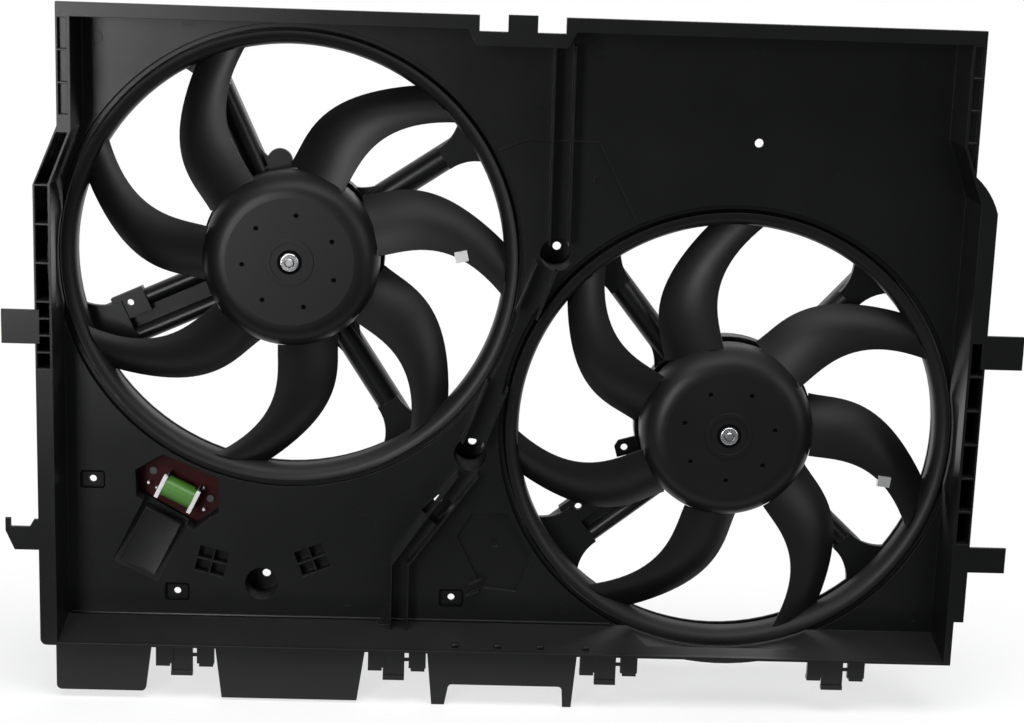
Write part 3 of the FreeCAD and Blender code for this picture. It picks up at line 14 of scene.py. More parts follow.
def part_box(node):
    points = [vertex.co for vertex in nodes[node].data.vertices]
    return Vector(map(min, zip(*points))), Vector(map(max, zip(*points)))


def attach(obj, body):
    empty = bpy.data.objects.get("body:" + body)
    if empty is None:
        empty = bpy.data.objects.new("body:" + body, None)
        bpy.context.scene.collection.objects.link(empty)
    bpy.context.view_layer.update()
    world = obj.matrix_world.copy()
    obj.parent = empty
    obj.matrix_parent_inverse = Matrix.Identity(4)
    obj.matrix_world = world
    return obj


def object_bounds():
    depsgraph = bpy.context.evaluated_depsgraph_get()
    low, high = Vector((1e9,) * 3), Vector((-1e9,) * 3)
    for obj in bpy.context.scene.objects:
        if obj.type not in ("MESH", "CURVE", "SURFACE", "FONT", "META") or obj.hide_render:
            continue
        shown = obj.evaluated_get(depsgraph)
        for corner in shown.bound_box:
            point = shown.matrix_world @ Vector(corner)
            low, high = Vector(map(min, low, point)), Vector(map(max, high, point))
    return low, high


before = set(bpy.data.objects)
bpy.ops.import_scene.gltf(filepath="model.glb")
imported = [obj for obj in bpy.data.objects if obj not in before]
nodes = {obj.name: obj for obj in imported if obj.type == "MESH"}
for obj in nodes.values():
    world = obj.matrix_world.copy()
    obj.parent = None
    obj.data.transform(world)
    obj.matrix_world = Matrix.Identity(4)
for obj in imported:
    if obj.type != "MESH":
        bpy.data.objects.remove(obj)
cad_box = [[float(number) for number in corner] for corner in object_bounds()]
print("nodes:", len(nodes), "box:", cad_box)

# %% [markdown]
# Every finish is a small network of nodes. Writing the maths of such a network as Python
# expressions keeps it readable, so one class wraps a socket and overloads the operators: an
# expression on its values adds the Math nodes that work it out.

# %% A socket that does sums
class Value:
    def __init__(self, nodes_of, socket):
        self.nodes_of = nodes_of
        self.socket = socket

    def maths(self, operation, *others):
        return self.nodes_of.add("ShaderNodeMath", {"operation": operation}, self, *others)

    def __add__(self, other):
        return self.maths("ADD", other)

    def __sub__(self, other):
        return self.maths("SUBTRACT", other)

    def __rsub__(self, other):
        return self.nodes_of.add("ShaderNodeMath", {"operation": "SUBTRACT"}, other, self)

    def __mul__(self, other):
        return self.maths("MULTIPLY", other)

    __radd__ = __add__
    __rmul__ = __mul__


print("ready: sums of sockets, such as 1 - mask * 0.5")

# %% [markdown]
# The second helper adds the nodes. Its `add` method makes any node from its type, its settings and
# the values or links of its sockets, in any tree: the world needs nodes as well as the materials.
# A node shows other sockets once its settings change, so the settings come first, and the inputs
# that are given without a name go, in order, to the sockets that are then in use.

# %% Nodes in a tree
class Nodes:
    def __init__(self, tree):
        self.tree = tree

    def add(self, kind, settings, *inputs, out=0, **named):
        node = self.tree.nodes.new(kind)
        for key, setting in settings.items():
            if key == "stops":
                self.set_stops(node.color_ramp, setting)
            else:
                setattr(node, key, setting)
        in_use = [socket for socket in node.inputs if socket.enabled]
        for socket, what in zip(in_use, inputs):
            self.feed(socket, what)
        for name, what in named.items():
            self.feed(node.inputs[name.replace("_", " ")], what)
        if isinstance(out, str):
            return Value(self, node.outputs[out])
        return Value(self, [socket for socket in node.outputs if socket.enabled][out])

    def set_stops(self, ramp, stops):
        """Place the two stops that a new ramp has, each a shade of grey."""
        for element, (position, shade) in zip(ramp.elements, stops):
            element.position = position
            element.color = (shade, shade, shade, 1)

    def feed(self, socket, what):
        if isinstance(what, Value):
            self.tree.links.new(what.socket, socket)
        elif isinstance(what, tuple) and len(what) == 3 and socket.type == "RGBA":
            socket.default_value = (*what, 1)
        else:
            socket.default_value = what


print("ready: nodes in any tree")

# %% [markdown]
# The third helper is the finish itself: a material with one Principled shader. Numbers that are the
# same all over are set on the shader's own sockets, and what varies is linked to it by `paint`.
# Patterns lie on the piece's own coordinates; `stretched` pulls them out so that they run one way.

# %% A finish
class Finish(Nodes):
    def __init__(self, name, **constants):
        self.material = bpy.data.materials.new(name)
        self.material.use_nodes = True
        super().__init__(self.material.node_tree)
        self.shader = self.tree.nodes["Principled BSDF"]
        for socket, number in constants.items():
            self.shader.inputs[socket.replace("_", " ")].default_value = number
        self.place = self.add("ShaderNodeTexCoord", {}, out="Object")

    def stretched(self, scale, turn=(0.0, 0.0, 0.0)):
        return self.add("ShaderNodeMapping", {}, Vector=self.place, Rotation=turn, Scale=scale)

    def noise(self, scale, detail, roughness, where=None):
        return self.add("ShaderNodeTexNoise", {}, Vector=where or self.place, Scale=scale,
                        Detail=detail, Roughness=roughness)

    def ramp(self, value, stops):
        return self.add("ShaderNodeValToRGB", {"stops": stops}, value)

    def mix(self, share, first, second):
        return self.add("ShaderNodeMix", {"data_type": "RGBA"}, share, first, second)

    def bump(self, height, strength, distance, under=None):
        extra = {"Normal": under} if under else {}
        return self.add("ShaderNodeBump", {}, Strength=strength, Distance=distance, Height=height,
                        **extra)

    def paint(self, **sockets):
        for socket, what in sockets.items():
            self.feed(self.shader.inputs[socket.replace("_", " ")], what)
        return self.material


print("ready: finishes")

# %% [markdown]
# The shroud and the fans are black glass-filled nylon. The real surface has a fine eroded grain
# from the tool, faint flow marks where the melt ran, and edges that shine because handling has
# polished them. Noises give the grain, the cloudiness and the scuffs, and the Bevel node rounds the
# shading of the sharp edges so that they catch the light. Fine dust settles on what faces up, and
# takes the shine off it. A much darker, nearly matt copy of the plastic is painted shade, for the
# shadowed grooves round the pads and the lock rings and the shaded bottoms of the dimples.

# %% Moulded black plastic
DUST_SHADE = (0.011, 0.0105, 0.0095)


def shaded(shade, share, lift=0.0):
    return tuple(channel * share + lift for channel in shade)


def moulded_plastic(name, shade, roughness, grain, edge, sheen=0.31):
    finish = Finish(name, Specular_IOR_Level=sheen)
    cloud = finish.noise(9.0, 5.0, 0.6)
    grit = finish.noise(900.0, 2.0, 0.6)
    flow = finish.noise(2.5, 4.0, 0.55, finish.stretched((14.0, 14.0, 3.0)))
    rubs = finish.noise(1.0, 4.0, 0.7, finish.stretched((260.0, 40.0, 22.0), (0.3, 0.2, 0.6)))
    scuff = finish.ramp(rubs, [(0.66, 0.0), (0.78, 1.0)])
    facing = finish.add("ShaderNodeNewGeometry", {}, out="Normal")
    upward = finish.add("ShaderNodeSeparateXYZ", {}, facing, out=2)
    dust = finish.add("ShaderNodeMapRange", {}, upward, 0.35, 0.95) * (cloud * 0.6 + 0.6)
    colour = finish.mix(cloud * 0.7 + flow * 0.3, shaded(shade, 0.72), shaded(shade, 1.35, 0.001))
    colour = finish.mix(scuff * 0.25, colour, shaded(shade, 2.4))
    colour = finish.mix(dust * 0.3, colour, DUST_SHADE)
    rounded = finish.add("ShaderNodeBevel", {"samples": 4}, Radius=edge)
    surface = finish.bump(grit, 0.35 * grain, 0.00012, rounded)
    surface = finish.bump(flow, 0.12, 0.0006, surface)
    return finish.paint(Base_Color=colour, Normal=surface,
                        Roughness=roughness + (cloud - 0.5) * 0.16 + scuff * 0.08 - flow * 0.04
                        + dust * 0.34)


shroud_plastic = moulded_plastic("shroud_black_nylon", (0.0038, 0.004, 0.0041), roughness=0.33,
                                 grain=1.0, edge=0.0009)
fan_plastic = moulded_plastic("fan_black_nylon", (0.0042, 0.0042, 0.0041), roughness=0.43,
                              grain=0.8, edge=0.0005)
plug_plastic = moulded_plastic("plug_black_plastic", (0.0045, 0.0045, 0.005), roughness=0.36,
                               grain=0.6, edge=0.0004)
# A much darker, nearly matt copy of the plastic: painted shade for grooves, gaps and hollows.
painted_shade_black = moulded_plastic("painted_shade_black_nylon", (0.0012, 0.0012, 0.0013), roughness=0.85,
                              grain=1.6, edge=0.0002, sheen=0.06)
print("plastics:", shroud_plastic.name, fan_plastic.name, plug_plastic.name, painted_shade_black.name)

# %% [markdown]
# Steel parts differ in how they were finished. Ground steel has fine lines round its axis, zinc
# plate is cloudy and slightly blue, and bright spring steel is nearly a mirror. One recipe with a
# brushed noise, a cloud and a little grime makes them all, and the alloy and the copper too. Its
# `lines` say how fine the brushing is along each axis.

# %% Steels and other metals
GRIME_SHADE = (0.06, 0.055, 0.05)


def steel(name, shade, roughness, lines=(40.0, 900.0, 40.0), grime=0.3):
    finish = Finish(name, Metallic=1.0)
    brushed = finish.noise(1.0, 3.0, 0.5, finish.stretched(lines))
    cloud = finish.noise(120.0, 4.0, 0.6)
    dirt = finish.ramp(finish.noise(60.0, 6.0, 0.7), [(0.55, 0.0), (0.75, 1.0)])
    colour = finish.mix(cloud, shaded(shade, 0.82), shade)
    colour = finish.mix(dirt * grime, colour, GRIME_SHADE)
    rounded = finish.add("ShaderNodeBevel", {"samples": 4}, Radius=0.0003)
    surface = finish.bump(brushed, 0.25, 0.00005, rounded)
    return finish.paint(Base_Color=colour, Normal=surface,
                        Roughness=roughness + (brushed - 0.5) * 0.2 + dirt * grime * 0.4)


ground_steel = steel("ground_steel", (0.6, 0.6, 0.6), roughness=0.28)
zinc_plate = steel("zinc_plate", (0.5, 0.51, 0.53), roughness=0.36, lines=(60.0, 60.0, 60.0))
bright_steel = steel("bright_spring_steel", (0.86, 0.87, 0.88), roughness=0.2,
                     lines=(70.0, 70.0, 500.0), grime=0.08)
light_alloy = steel("turned_light_alloy", (0.62, 0.62, 0.62), roughness=0.3,
                    lines=(30.0, 700.0, 30.0), grime=0.2)
lamination_steel = steel("stacked_laminations", (0.3, 0.3, 0.32), roughness=0.42,
                         lines=(20.0, 2200.0, 20.0), grime=0.4)
tinned_strip = steel("tinned_strip", (0.93, 0.93, 0.92), roughness=0.46,
                     lines=(70.0, 70.0, 500.0), grime=0.05)
dark_zinc = steel("dark_passivated_zinc", (0.1, 0.1, 0.1), roughness=0.45,
                  lines=(60.0, 60.0, 60.0))
copper = steel("enamelled_copper", (0.75, 0.34, 0.16), roughness=0.34,
               lines=(30.0, 1500.0, 30.0), grime=0.15)
cap_plate = steel("dull_end_cap", (0.42, 0.43, 0.44), roughness=0.42,
                  lines=(80.0, 80.0, 80.0), grime=0.35)
solder = steel("dull_solder", (0.55, 0.55, 0.54), roughness=0.4,
               lines=(90.0, 90.0, 90.0), grime=0.25)
metals = (ground_steel, zinc_plate, bright_steel, light_alloy, lamination_steel, tinned_strip,
          dark_zinc, copper, cap_plate, solder)
print("metals:", *(metal.name for metal in metals))

# %% [markdown]
# The motor cans are black electro-coated steel: smooth, slightly wavy from the drawing of the can,
# and with a soft gloss. The magnets inside are dull grey ceramic, and the brush card is brown
# phenolic sheet with a faint fibre. The resistor's board is a maroon laminate, and its core has a
# green fired coat. All of them are a wavy coat with a few specks, so one recipe makes them.

# %% Coatings, ceramic and sheet
def coated(name, dark, light, roughness, waves, wave_height, coat=0.0, sheen=0.4):
    finish = Finish(name, Coat_Weight=coat, Coat_Roughness=0.2, Specular_IOR_Level=sheen)
    wave = finish.noise(waves, 3.0, 0.5)
    speck = finish.ramp(finish.noise(700.0, 2.0, 0.5), [(0.5, 0.0), (0.72, 1.0)])
    colour = finish.mix(wave * 0.8 + speck * 0.2, dark, light)
    rounded = finish.add("ShaderNodeBevel", {"samples": 4}, Radius=0.0006)
    surface = finish.bump(wave, 0.3, wave_height, rounded)
    surface = finish.bump(speck, 0.2, 0.00004, surface)
    return finish.paint(Base_Color=colour, Normal=surface,
                        Roughness=roughness + (wave - 0.5) * 0.14 + speck * 0.06)


can_coat = coated("black_can_coat", (0.008, 0.008, 0.009), (0.02, 0.02, 0.022), roughness=0.32,
                  waves=18.0, wave_height=0.0004, coat=0.3)
ferrite = coated("grey_ferrite", (0.03, 0.03, 0.032), (0.07, 0.07, 0.074), roughness=0.62,
                 waves=90.0, wave_height=0.0002)
card_sheet = coated("brown_phenolic", (0.05, 0.025, 0.012), (0.13, 0.07, 0.035), roughness=0.5,
                    waves=240.0, wave_height=0.0001)
board_sheet = coated("maroon_laminate", (0.022, 0.0016, 0.0022), (0.06, 0.004, 0.006),
                     roughness=0.5, waves=60.0, wave_height=0.0001, sheen=0.15)
green_coat = coated("green_fired_coat", (0.05, 0.15, 0.022), (0.085, 0.24, 0.038), roughness=0.4,
                    waves=45.0, wave_height=0.0005, coat=0.15)
print("coats:", *(coat.name for coat in (can_coat, ferrite, card_sheet, board_sheet, green_coat)))

# %% [markdown]
# Each solid gets the finish of the real piece. The names of the left and the right side differ only
# in their last word.

# %% Dress the solids
finish_of = {
    "shroud": shroud_plastic, "fan": fan_plastic, "hub_insert": light_alloy,
    "shaft": ground_steel, "shaft_lock_ring": bright_steel, "balance_clip": tinned_strip,
    "motor_can": can_coat, "bearing_front": ground_steel, "bearing_rear": ground_steel,
    "motor_end_cap": cap_plate, "magnets": ferrite, "armature": lamination_steel,
    "windings": copper, "commutator": copper, "brush_card": card_sheet,
    "motor_bracket": zinc_plate, "motor_screws": zinc_plate, "motor_connector": plug_plastic,
    "resistor_board": board_sheet, "resistor_core": green_coat, "resistor_clips": tinned_strip,
    "resistor_screws": dark_zinc, "resistor_connector": plug_plastic,
}


def dress(node_name):
    piece = nodes[node_name]
    side_free = node_name.removesuffix("_left").removesuffix("_right")
    piece.data.materials.clear()
    piece.data.materials.append(finish_of[side_free])


for node_name in nodes:
    dress(node_name)
print("dressed:", len(nodes))

# %% [markdown]
# ## Small moulded and pressed details
# Solids leave out the marks that a mould and a press leave behind. The first is the ejector pin
# mark: a shallow round dish with a thin brim, where a pin pushed the hot moulding out of its tool.
# One is made from a cylinder, its face inset and sunk, and the others are copies of it. An operator
# acts on all that is selected, so each piece starts with nothing selected. A face counts as facing
# along an axis when its normal lies nearly along that axis, which SQUARE_ON measures.

# %% A dished mark
FACING_FRONT = math.radians(90)
SQUARE_ON = 0.9


def nothing_selected():
    bpy.ops.object.select_all(action="DESELECT")


def pick_faces(piece, wanted):
    """Leave edit mode on, with just the wanted faces selected."""
    bpy.ops.object.mode_set(mode="EDIT")
    bpy.ops.mesh.select_mode(type="FACE")
    bpy.ops.mesh.select_all(action="DESELECT")
    bpy.ops.object.mode_set(mode="OBJECT")
    for face in piece.data.polygons:
        face.select = wanted(face)
    bpy.ops.object.mode_set(mode="EDIT")


def settle_place():
    """Take the active piece's place, turn and scale into its mesh."""
    bpy.ops.object.transform_apply(location=True, rotation=True, scale=True)


def dished_mark(surface_depth, radius, rise, brim, dish):
    """A low round mark that stands on a surface which faces the radiator."""
    nothing_selected()
    bpy.ops.mesh.primitive_cylinder_add(vertices=32, radius=radius, depth=2 * rise,
                                        location=(0, surface_depth, 0),
                                        rotation=(FACING_FRONT, 0, 0))
    mark = bpy.context.object
    pick_faces(mark, lambda face: face.normal.z > SQUARE_ON)
    bpy.ops.mesh.inset(thickness=brim)
    bpy.ops.transform.translate(value=(0, dish, 0))
    bpy.ops.object.mode_set(mode="OBJECT")
    settle_place()
    return mark


print("ready: dished marks")

# %% [markdown]
# Copies get a mesh of their own, and are moved in that mesh, so that each piece's object stays at
# the origin. The copies are then joined to one piece, which gets its finish and is told which body
# it rides on. Smoothing by angle keeps the edges sharp that are sharper than 35 degrees.

# %% Copying and joining
SHARP_EDGE = math.radians(35)


def copy_moved(piece, shift):
    twin = piece.copy()
    twin.data = piece.data.copy()
    twin.data.transform(shift)
    bpy.context.scene.collection.objects.link(twin)
    return twin


def copies_at(piece, places):
    """Copies of a piece, shifted to each (x, z). The piece itself, which was the pattern, goes."""
    copies = [copy_moved(piece, Matrix.Translation((x, 0, z))) for x, z in places]
    bpy.data.objects.remove(piece)
    return copies


def joined(name, pieces, body, finish):
    """Make one finished piece of several, and say what it rides on."""
    nothing_selected()
    for piece in pieces:
        piece.select_set(True)
    bpy.context.view_layer.objects.active = pieces[0]
    bpy.ops.object.join()
    whole = bpy.context.object
    whole.name = name
    bpy.ops.object.shade_smooth_by_angle(angle=SHARP_EDGE)
    whole.data.materials.clear()
    whole.data.materials.append(finish)
    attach(whole, body)
    print(name, len(whole.data.polygons), "faces")


print("ready: copies and joined pieces")

# %% [markdown]
# The plate has pin marks in its corners and along its edges, wherever the tool had room between
# the two barrels. The plate's inner face lies at one depth, so the marks differ only in x and z.

# %% Pin marks on the plate
PLATE = 0.058
plate_marks = [(-0.382, 0.556), (-0.300, 0.574), (-0.110, 0.572), (0.018, 0.500), (0.070, 0.556),
               (0.215, 0.560), (0.372, 0.552), (0.300, 0.452), (0.075, 0.440), (0.384, 0.425),
               (-0.395, 0.190), (-0.396, 0.060), (-0.240, 0.105), (-0.150, 0.030), (-0.135, 0.120),
               (0.060, 0.028), (0.392, 0.026)]
round_mark = dished_mark(PLATE, radius=0.0055, rise=0.0003, brim=0.0006, dish=0.00045)
joined("plate_pin_marks", copies_at(round_mark, plate_marks), "shroud_assembly",
       shroud_plastic)

# %% [markdown]
# Four low nubs stand in a row on the floor of the tray. Each is a block whose edges are bevelled
# all round, so that it looks moulded.

# %% Nubs on the tray's floor
NUB_SIZE = (0.006, 0.007, 0.004)


def soft_block(place, size, edge):
    nothing_selected()
    bpy.ops.mesh.primitive_cube_add(size=1, location=place, scale=size)
    block = bpy.context.object
    settle_place()
    bpy.ops.object.mode_set(mode="EDIT")
    bpy.ops.mesh.select_all(action="SELECT")
    bpy.ops.mesh.bevel(offset=edge, segments=2, affect="EDGES")
    bpy.ops.object.mode_set(mode="OBJECT")
    return block


nubs = [soft_block((x, 0.012, 0.0045), NUB_SIZE, edge=0.0008)
        for x in (-0.045, -0.005, 0.035, 0.078)]
joined("floor_nubs", nubs, "shroud_assembly", shroud_plastic)

# %% [markdown]
# The three screw pads have a rounded frame round them, in a deeper black than the plate: painted
# shade, which stands for the shadowed groove round each pad. A frame is a slab whose four corner
# edges, from front to back, are bevelled round; its front and back are then inset and bridged,
# which opens the middle.

# %% Painted shade round the screw pads
PAD_WIDTH, PAD_DEPTH, PAD_HEIGHT = 0.0234, 0.0008, 0.0173
PAD_CORNER = 0.0034
PAD_PLACES = ((-0.390, 0.144), (-0.311, 0.035), (-0.050, 0.035))


def open_middle(piece, wanted, band):
    """Inset the two wanted faces and bridge them, so that only a band is left round the middle."""
    pick_faces(piece, wanted)
    bpy.ops.mesh.inset(thickness=band)
    bpy.ops.mesh.bridge_edge_loops()
    bpy.ops.object.mode_set(mode="OBJECT")


def pad_slab():
    nothing_selected()
    bpy.ops.mesh.primitive_cube_add(size=1, location=(0, PLATE, 0),
                                    scale=(PAD_WIDTH, PAD_DEPTH, PAD_HEIGHT))
    slab = bpy.context.object
    settle_place()
    bpy.ops.object.mode_set(mode="EDIT")
    bpy.ops.mesh.select_mode(type="EDGE")
    bpy.ops.mesh.select_all(action="DESELECT")
    bpy.ops.object.mode_set(mode="OBJECT")
    corners = slab.data.vertices
    for edge in slab.data.edges:
        first, second = (corners[index].co for index in edge.vertices)
        edge.select = abs(first.y - second.y) > PAD_DEPTH / 2
    bpy.ops.object.mode_set(mode="EDIT")
    bpy.ops.mesh.bevel(offset=PAD_CORNER, segments=5, affect="EDGES")
    bpy.ops.object.mode_set(mode="OBJECT")
    return slab


# Painted shade: the dark frames stand for the shadowed groove round each pad.
pad_groove_shade = pad_slab()
open_middle(pad_groove_shade, lambda face: abs(face.normal.y) > SQUARE_ON, band=0.0014)
joined("pad_groove_shades", copies_at(pad_groove_shade, PAD_PLACES), "shroud_assembly",
       painted_shade_black)

# %% [markdown]
# Round the lock ring on each shaft lies a flat dark ring of painted shade, which stands for the
# shadowed gap round the lock ring. It is a hoop: a cylinder whose two end faces are inset and
# bridged.

# %% Painted shade round the lock rings
HUB_FACE = 0.047
SHADE_RING_RADIUS = 0.0114


def corners_of(node_name):
    return [Vector(corner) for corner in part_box(node_name)]


def middle_of(node_name):
    low_corner, high_corner = corners_of(node_name)
    return (low_corner + high_corner) / 2


# Painted shade: a dark hoop stands for the shadowed gap round each lock ring.
for side in ("left", "right"):
    centre = middle_of(f"shaft_lock_ring_{side}")
    nothing_selected()
    bpy.ops.mesh.primitive_cylinder_add(vertices=64, radius=SHADE_RING_RADIUS, depth=0.0006,
                                        location=(centre.x, HUB_FACE, centre.z),
                                        rotation=(FACING_FRONT, 0, 0))
    hoop = bpy.context.object
    open_middle(hoop, lambda face: abs(face.normal.z) > SQUARE_ON, band=0.0028)
    settle_place()
    joined(f"hub_shade_ring_{side}", [hoop], f"rotor_{side}", painted_shade_black)

# %% [markdown]
# Seven dimples stand in a ring on each hub, each a little past the middle of the gap between two
# blades. The blades are unevenly spaced, so the dimples are too. The bottom of each gets painted
# shade, for the shade that falls in the dimple: a dark dished mark, low in the dimple. The steps
# from blade to blade and the turn at which each fan stands at rest are in degrees.

# %% Painted shade in the hub dimples
BLADE_STEPS = (61, 44.5, 53, 50, 55, 47, 49.5)
FAN_TURNS = {"left": 47.0, "right": 28.0}
DIMPLE_LEAN = 5
DIMPLE_CIRCLE = 0.0435
DIMPLE_FLOOR = HUB_FACE + 0.0017
for side, turn in FAN_TURNS.items():
    centre = middle_of(f"shaft_lock_ring_{side}")
    angles = [math.radians(turn + DIMPLE_LEAN + sum(BLADE_STEPS[:index]) + step / 2)
              for index, step in enumerate(BLADE_STEPS)]
    places = [(centre.x + DIMPLE_CIRCLE * math.cos(angle),
               centre.z + DIMPLE_CIRCLE * math.sin(angle)) for angle in angles]
    # Painted shade: a dark mark stands for the shade in the bottom of each dimple.
    round_mark = dished_mark(DIMPLE_FLOOR, radius=0.00215, rise=0.0003, brim=0.0005, dish=0.0003)
    joined(f"dimple_shade_marks_{side}", copies_at(round_mark, places), f"rotor_{side}",
           painted_shade_black)

# %% [markdown]
# Where the tray's floor meets its plate, the fold has a thin raised seam that catches the light. It
# is one long, soft-edged strip.

# %% Seam along the fold
seam = soft_block((-0.154, 0.0575, 0.0124), (0.516, 0.003, 0.0032), edge=0.0012)
joined("fold_seam", [seam], "shroud_assembly", shroud_plastic)

# %% [markdown]
# The duct below the resistor has a raised tongue with a rim. It is cut from a block: one bisecting
# plane gives its sloping face and one the slope of the duct under it. The face is then inset and
# sunk, so that its rim stands up, and a bevel rounds the lip.

# %% Tongue in the resistor's duct
DUCT_TURN = math.radians(26)
DUCT_FOOT = Vector((-0.3505, 0, 0.055))
TONGUE_SIZE = (0.037, 0.022, 0.056)
FACE_DEPTH, FACE_SLOPE = 0.0582, 0.105
DUCT_DEPTH, DUCT_SLOPE = 0.0584, 0.345
RIM_WIDTH, RIM_HEIGHT, LIP_ROUND = 0.0013, 0.0009, 0.0012

nothing_selected()
bpy.ops.mesh.primitive_cube_add(size=1, location=(0, 0.067, 0.031), scale=TONGUE_SIZE)
tongue = bpy.context.object
settle_place()
bpy.ops.object.mode_set(mode="EDIT")
for depth, cut_away in ((FACE_DEPTH, (0, -1, FACE_SLOPE)), (DUCT_DEPTH, (0, 1, -DUCT_SLOPE))):
    bpy.ops.mesh.select_all(action="SELECT")
    bpy.ops.mesh.bisect(plane_co=(0, depth, 0), plane_no=cut_away, clear_outer=True, use_fill=True)
bpy.ops.object.mode_set(mode="OBJECT")
pick_faces(tongue, lambda face: face.normal.y < -SQUARE_ON)
bpy.ops.mesh.inset(thickness=RIM_WIDTH)
bpy.ops.transform.translate(value=(0, RIM_HEIGHT, 0))
bpy.ops.object.mode_set(mode="OBJECT")
rounding = tongue.modifiers.new("lip", "BEVEL")
rounding.width = LIP_ROUND
rounding.segments = 3
rounding.limit_method = "ANGLE"
bpy.ops.object.modifier_apply(modifier="lip")
tongue.data.transform(Matrix.Translation(DUCT_FOOT) @ Matrix.Rotation(DUCT_TURN, 4, "Y"))
joined("duct_tongue", [tongue], "shroud_assembly", shroud_plastic)

# %% [markdown]
# On the back, the motor's end cap is held by crimps: tabs of the can, pressed over the cap's edge.
# One tab is made at the top of the can and the others are turned round the shaft's axis.

# %% Crimps on the motor cans
CRIMP_SIZE = (0.011, 0.007, 0.0016)
CRIMPS = 6
for side in ("left", "right"):
    can_front, can_back = corners_of(f"motor_can_{side}")
    axis = (can_front + can_back) / 2
    reach = (can_back.x - can_front.x) / 2
    tab = soft_block((axis.x, can_back.y - 0.001, axis.z + reach), CRIMP_SIZE, edge=0.0006)
    tabs = [copy_moved(tab, Matrix.Translation(axis)
                       @ Matrix.Rotation(math.tau * step / CRIMPS, 4, "Y")
                       @ Matrix.Translation(-axis)) for step in range(CRIMPS)]
    bpy.data.objects.remove(tab)
    joined(f"can_crimps_{side}", tabs, "shroud_assembly", can_coat)

# %% [markdown]
# Two beads of solder hold the resistor's tails on its board. A solder bead is a dome: a ball, cut
# flat where it meets the board by bisecting it.

# %% Solder beads
board_front = corners_of("resistor_board")[0].y
core_middle = middle_of("resistor_core")
BEAD_RADIUS = 0.0026
beads = []
for x, z in ((-0.0225, -0.0005), (0.0225, 0.0005)):
    place = (core_middle.x + x, board_front, core_middle.z + z)
    nothing_selected()
    bpy.ops.mesh.primitive_uv_sphere_add(segments=20, ring_count=10, radius=BEAD_RADIUS,
                                         location=place)
    bead = bpy.context.object
    settle_place()
    bpy.ops.object.mode_set(mode="EDIT")
    bpy.ops.mesh.select_all(action="SELECT")
    bpy.ops.mesh.bisect(plane_co=(0, board_front, 0), plane_no=(0, 1, 0), clear_outer=True,
                        use_fill=True)
    bpy.ops.object.mode_set(mode="OBJECT")
    beads.append(bead)
joined("solder_beads", beads, "shroud_assembly", solder)

# %% [markdown]
# ## Floor, light and camera
# The part stands in a plain white studio. The world is white where the camera sees it, and where a
# mirror image of the backdrop, which hangs behind the part, would show on metal and plastic. The
# end of the room where the camera stands is dim, which is what makes black plastic look black.

# %% White backdrop
low, high = (Vector(corner) for corner in cad_box)
world = bpy.data.worlds.new("studio")
bpy.context.scene.world = world
world.use_nodes = True
sky = Nodes(world.node_tree)


def sees_backdrop(tree_nodes, where):
    """1 for rays from the camera, and for mirrored and refracted rays where the backdrop is."""
    camera_ray, mirrored, refracted = (
        tree_nodes.add("ShaderNodeLightPath", {}, out=kind)
        for kind in ("Is Camera Ray", "Is Glossy Ray", "Is Transmission Ray"))
    return camera_ray.maths("MAXIMUM", mirrored.maths("MAXIMUM", refracted) * where)


way = sky.add("ShaderNodeTexCoord", {}, out="Generated")
backward = sky.add("ShaderNodeSeparateXYZ", {}, way, out=1)
behind = sky.add("ShaderNodeMapRange", {}, backward, -0.15, 0.35)
dim_room = sky.add("ShaderNodeBackground", {}, (0.8, 0.82, 0.85), 0.2)
white = sky.add("ShaderNodeBackground", {}, (1.0, 1.0, 1.0), 1.0)
seen = sky.add("ShaderNodeMixShader", {}, sees_backdrop(sky, behind), dim_room, white)
sky.feed(sky.tree.nodes["World Output"].inputs["Surface"], seen)
print("world:", world.name)

# %% [markdown]
# The floor is a pale sheet. Close to the part it is lit as anything else is, so it keeps the
# part's soft shadow. Further out it turns into the white of the backdrop: the share of glow grows
# with the distance from the part's footprint. The sheet's front edge lies just before the part.

# %% Floor
FLOOR_SIZE = 4.4
FLOOR_FRONT = -0.11
FLOOR_GAP = 0.0005
GLOW_NEAR, GLOW_FAR, GLOW_REACH = 0.62, 1.0, 0.24

nothing_selected()
bpy.ops.mesh.primitive_plane_add(size=FLOOR_SIZE,
                                 location=(0, FLOOR_FRONT + FLOOR_SIZE / 2, low.z - FLOOR_GAP))
floor = bpy.context.object
floor.name = "studio_floor"
settle_place()
paper = Finish("floor_white", Roughness=0.9)
across = paper.add("ShaderNodeSeparateXYZ", {}, paper.place, out=0)
back = paper.add("ShaderNodeSeparateXYZ", {}, paper.place, out=1)
beside = (across.maths("ABSOLUTE") - high.x).maths("MAXIMUM", 0.0)
before = ((back - high.y / 2).maths("ABSOLUTE") - high.y / 2).maths("MAXIMUM", 0.0)
distance = (beside * beside + before * before).maths("SQRT")
share = paper.add("ShaderNodeMapRange", {}, distance, 0.0, GLOW_REACH, GLOW_NEAR, GLOW_FAR)
glow = paper.add("ShaderNodeEmission", {}, (1.0, 1.0, 1.0), 1.0)
floor.data.materials.append(paper.paint(Base_Color=(0.92, 0.92, 0.92)))
lit = Value(paper, paper.shader.outputs[0])
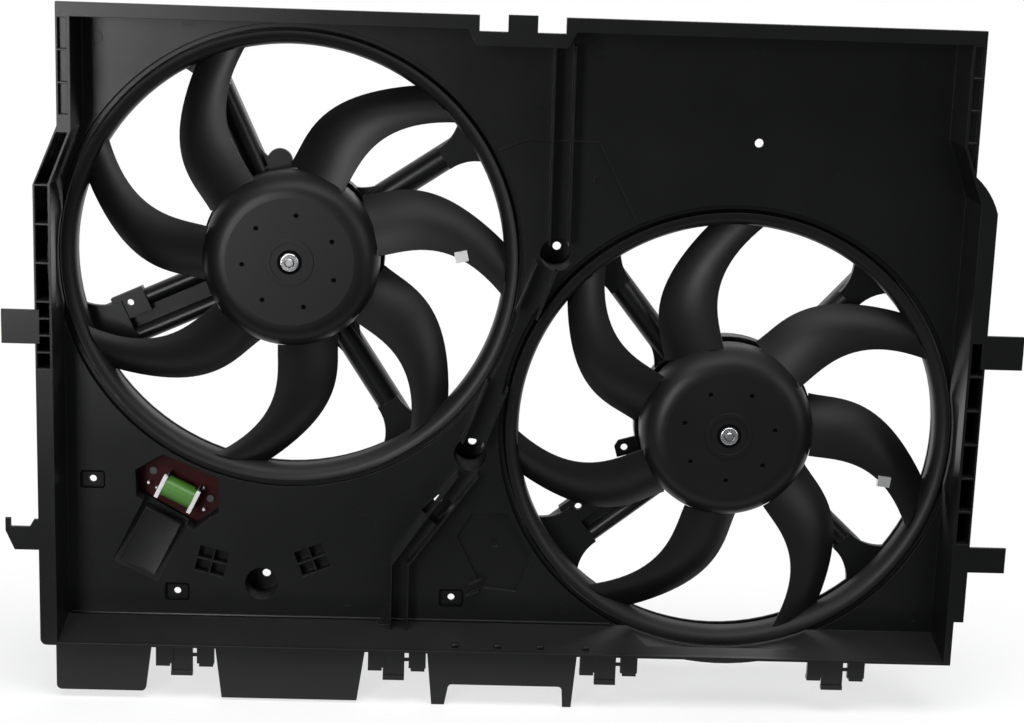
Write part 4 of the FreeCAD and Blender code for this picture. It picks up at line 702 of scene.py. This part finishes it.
both = paper.add("ShaderNodeMixShader", {}, sees_backdrop(paper, 1.0) * share, lit, glow)
paper.feed(paper.tree.nodes["Material Output"].inputs["Surface"], both)
print("floor at", round(low.z, 4))

# %% [markdown]
# A soft lamp is an area lamp that looks at the middle of the part. The key is a tall narrow soft
# box to the left: its reflection makes the sheen on the upper left of the plate, on the left hub
# and along the left edges of the blades. The others are wide and fill the shade.

# %% Soft lamps
middle = (low + high) / 2


def soft_lamp(name, place, size, watts):
    lamp = bpy.data.lights.new(name, "AREA")
    lamp.shape = "RECTANGLE"
    lamp.size, lamp.size_y = size
    lamp.energy = watts
    item = bpy.data.objects.new(name, lamp)
    bpy.context.scene.collection.objects.link(item)
    item.location = place
    item.rotation_euler = (middle - Vector(place)).to_track_quat("-Z", "Y").to_euler()
    print(name, watts, "W")


soft_lamp("tall_key", (-0.92, -1.9, 0.58), (0.5, 1.2), watts=20)
soft_lamp("overhead", (0.1, -0.6, 2.2), (2.4, 1.4), watts=50)
soft_lamp("right_fill", (2.1, -1.4, 1.0), (1.2, 1.6), watts=12)
soft_lamp("behind", (0.3, 1.9, 1.4), (2.0, 1.2), watts=18)

# %% [markdown]
# The camera looks slightly down at the side that faces the radiator, from a little left of the
# middle, with its horizon tipped by two degrees. Its lens is fairly long and it stands well back,
# so that near and far pieces keep their proportions.

# %% Camera
camera_place = Vector((-0.0554, -1.8021, 0.6806))
camera_way = Vector((0.02947, 0.97590, -0.21627)).normalized()
camera_roll = math.radians(1.94)
lens = bpy.data.cameras.new("camera")
lens.sensor_width = 36.0
lens.lens = 71.8
camera = bpy.data.objects.new("camera", lens)
bpy.context.scene.collection.objects.link(camera)
level = camera_way.to_track_quat("-Z", "Y").to_matrix()
turned = level @ Matrix.Rotation(camera_roll, 3, "Z")
camera.matrix_world = Matrix.Translation(camera_place) @ turned.to_4x4()
bpy.context.scene.camera = camera
bpy.context.scene.view_settings.view_transform = "Standard"
print("camera at", tuple(round(number, 3) for number in camera_place))
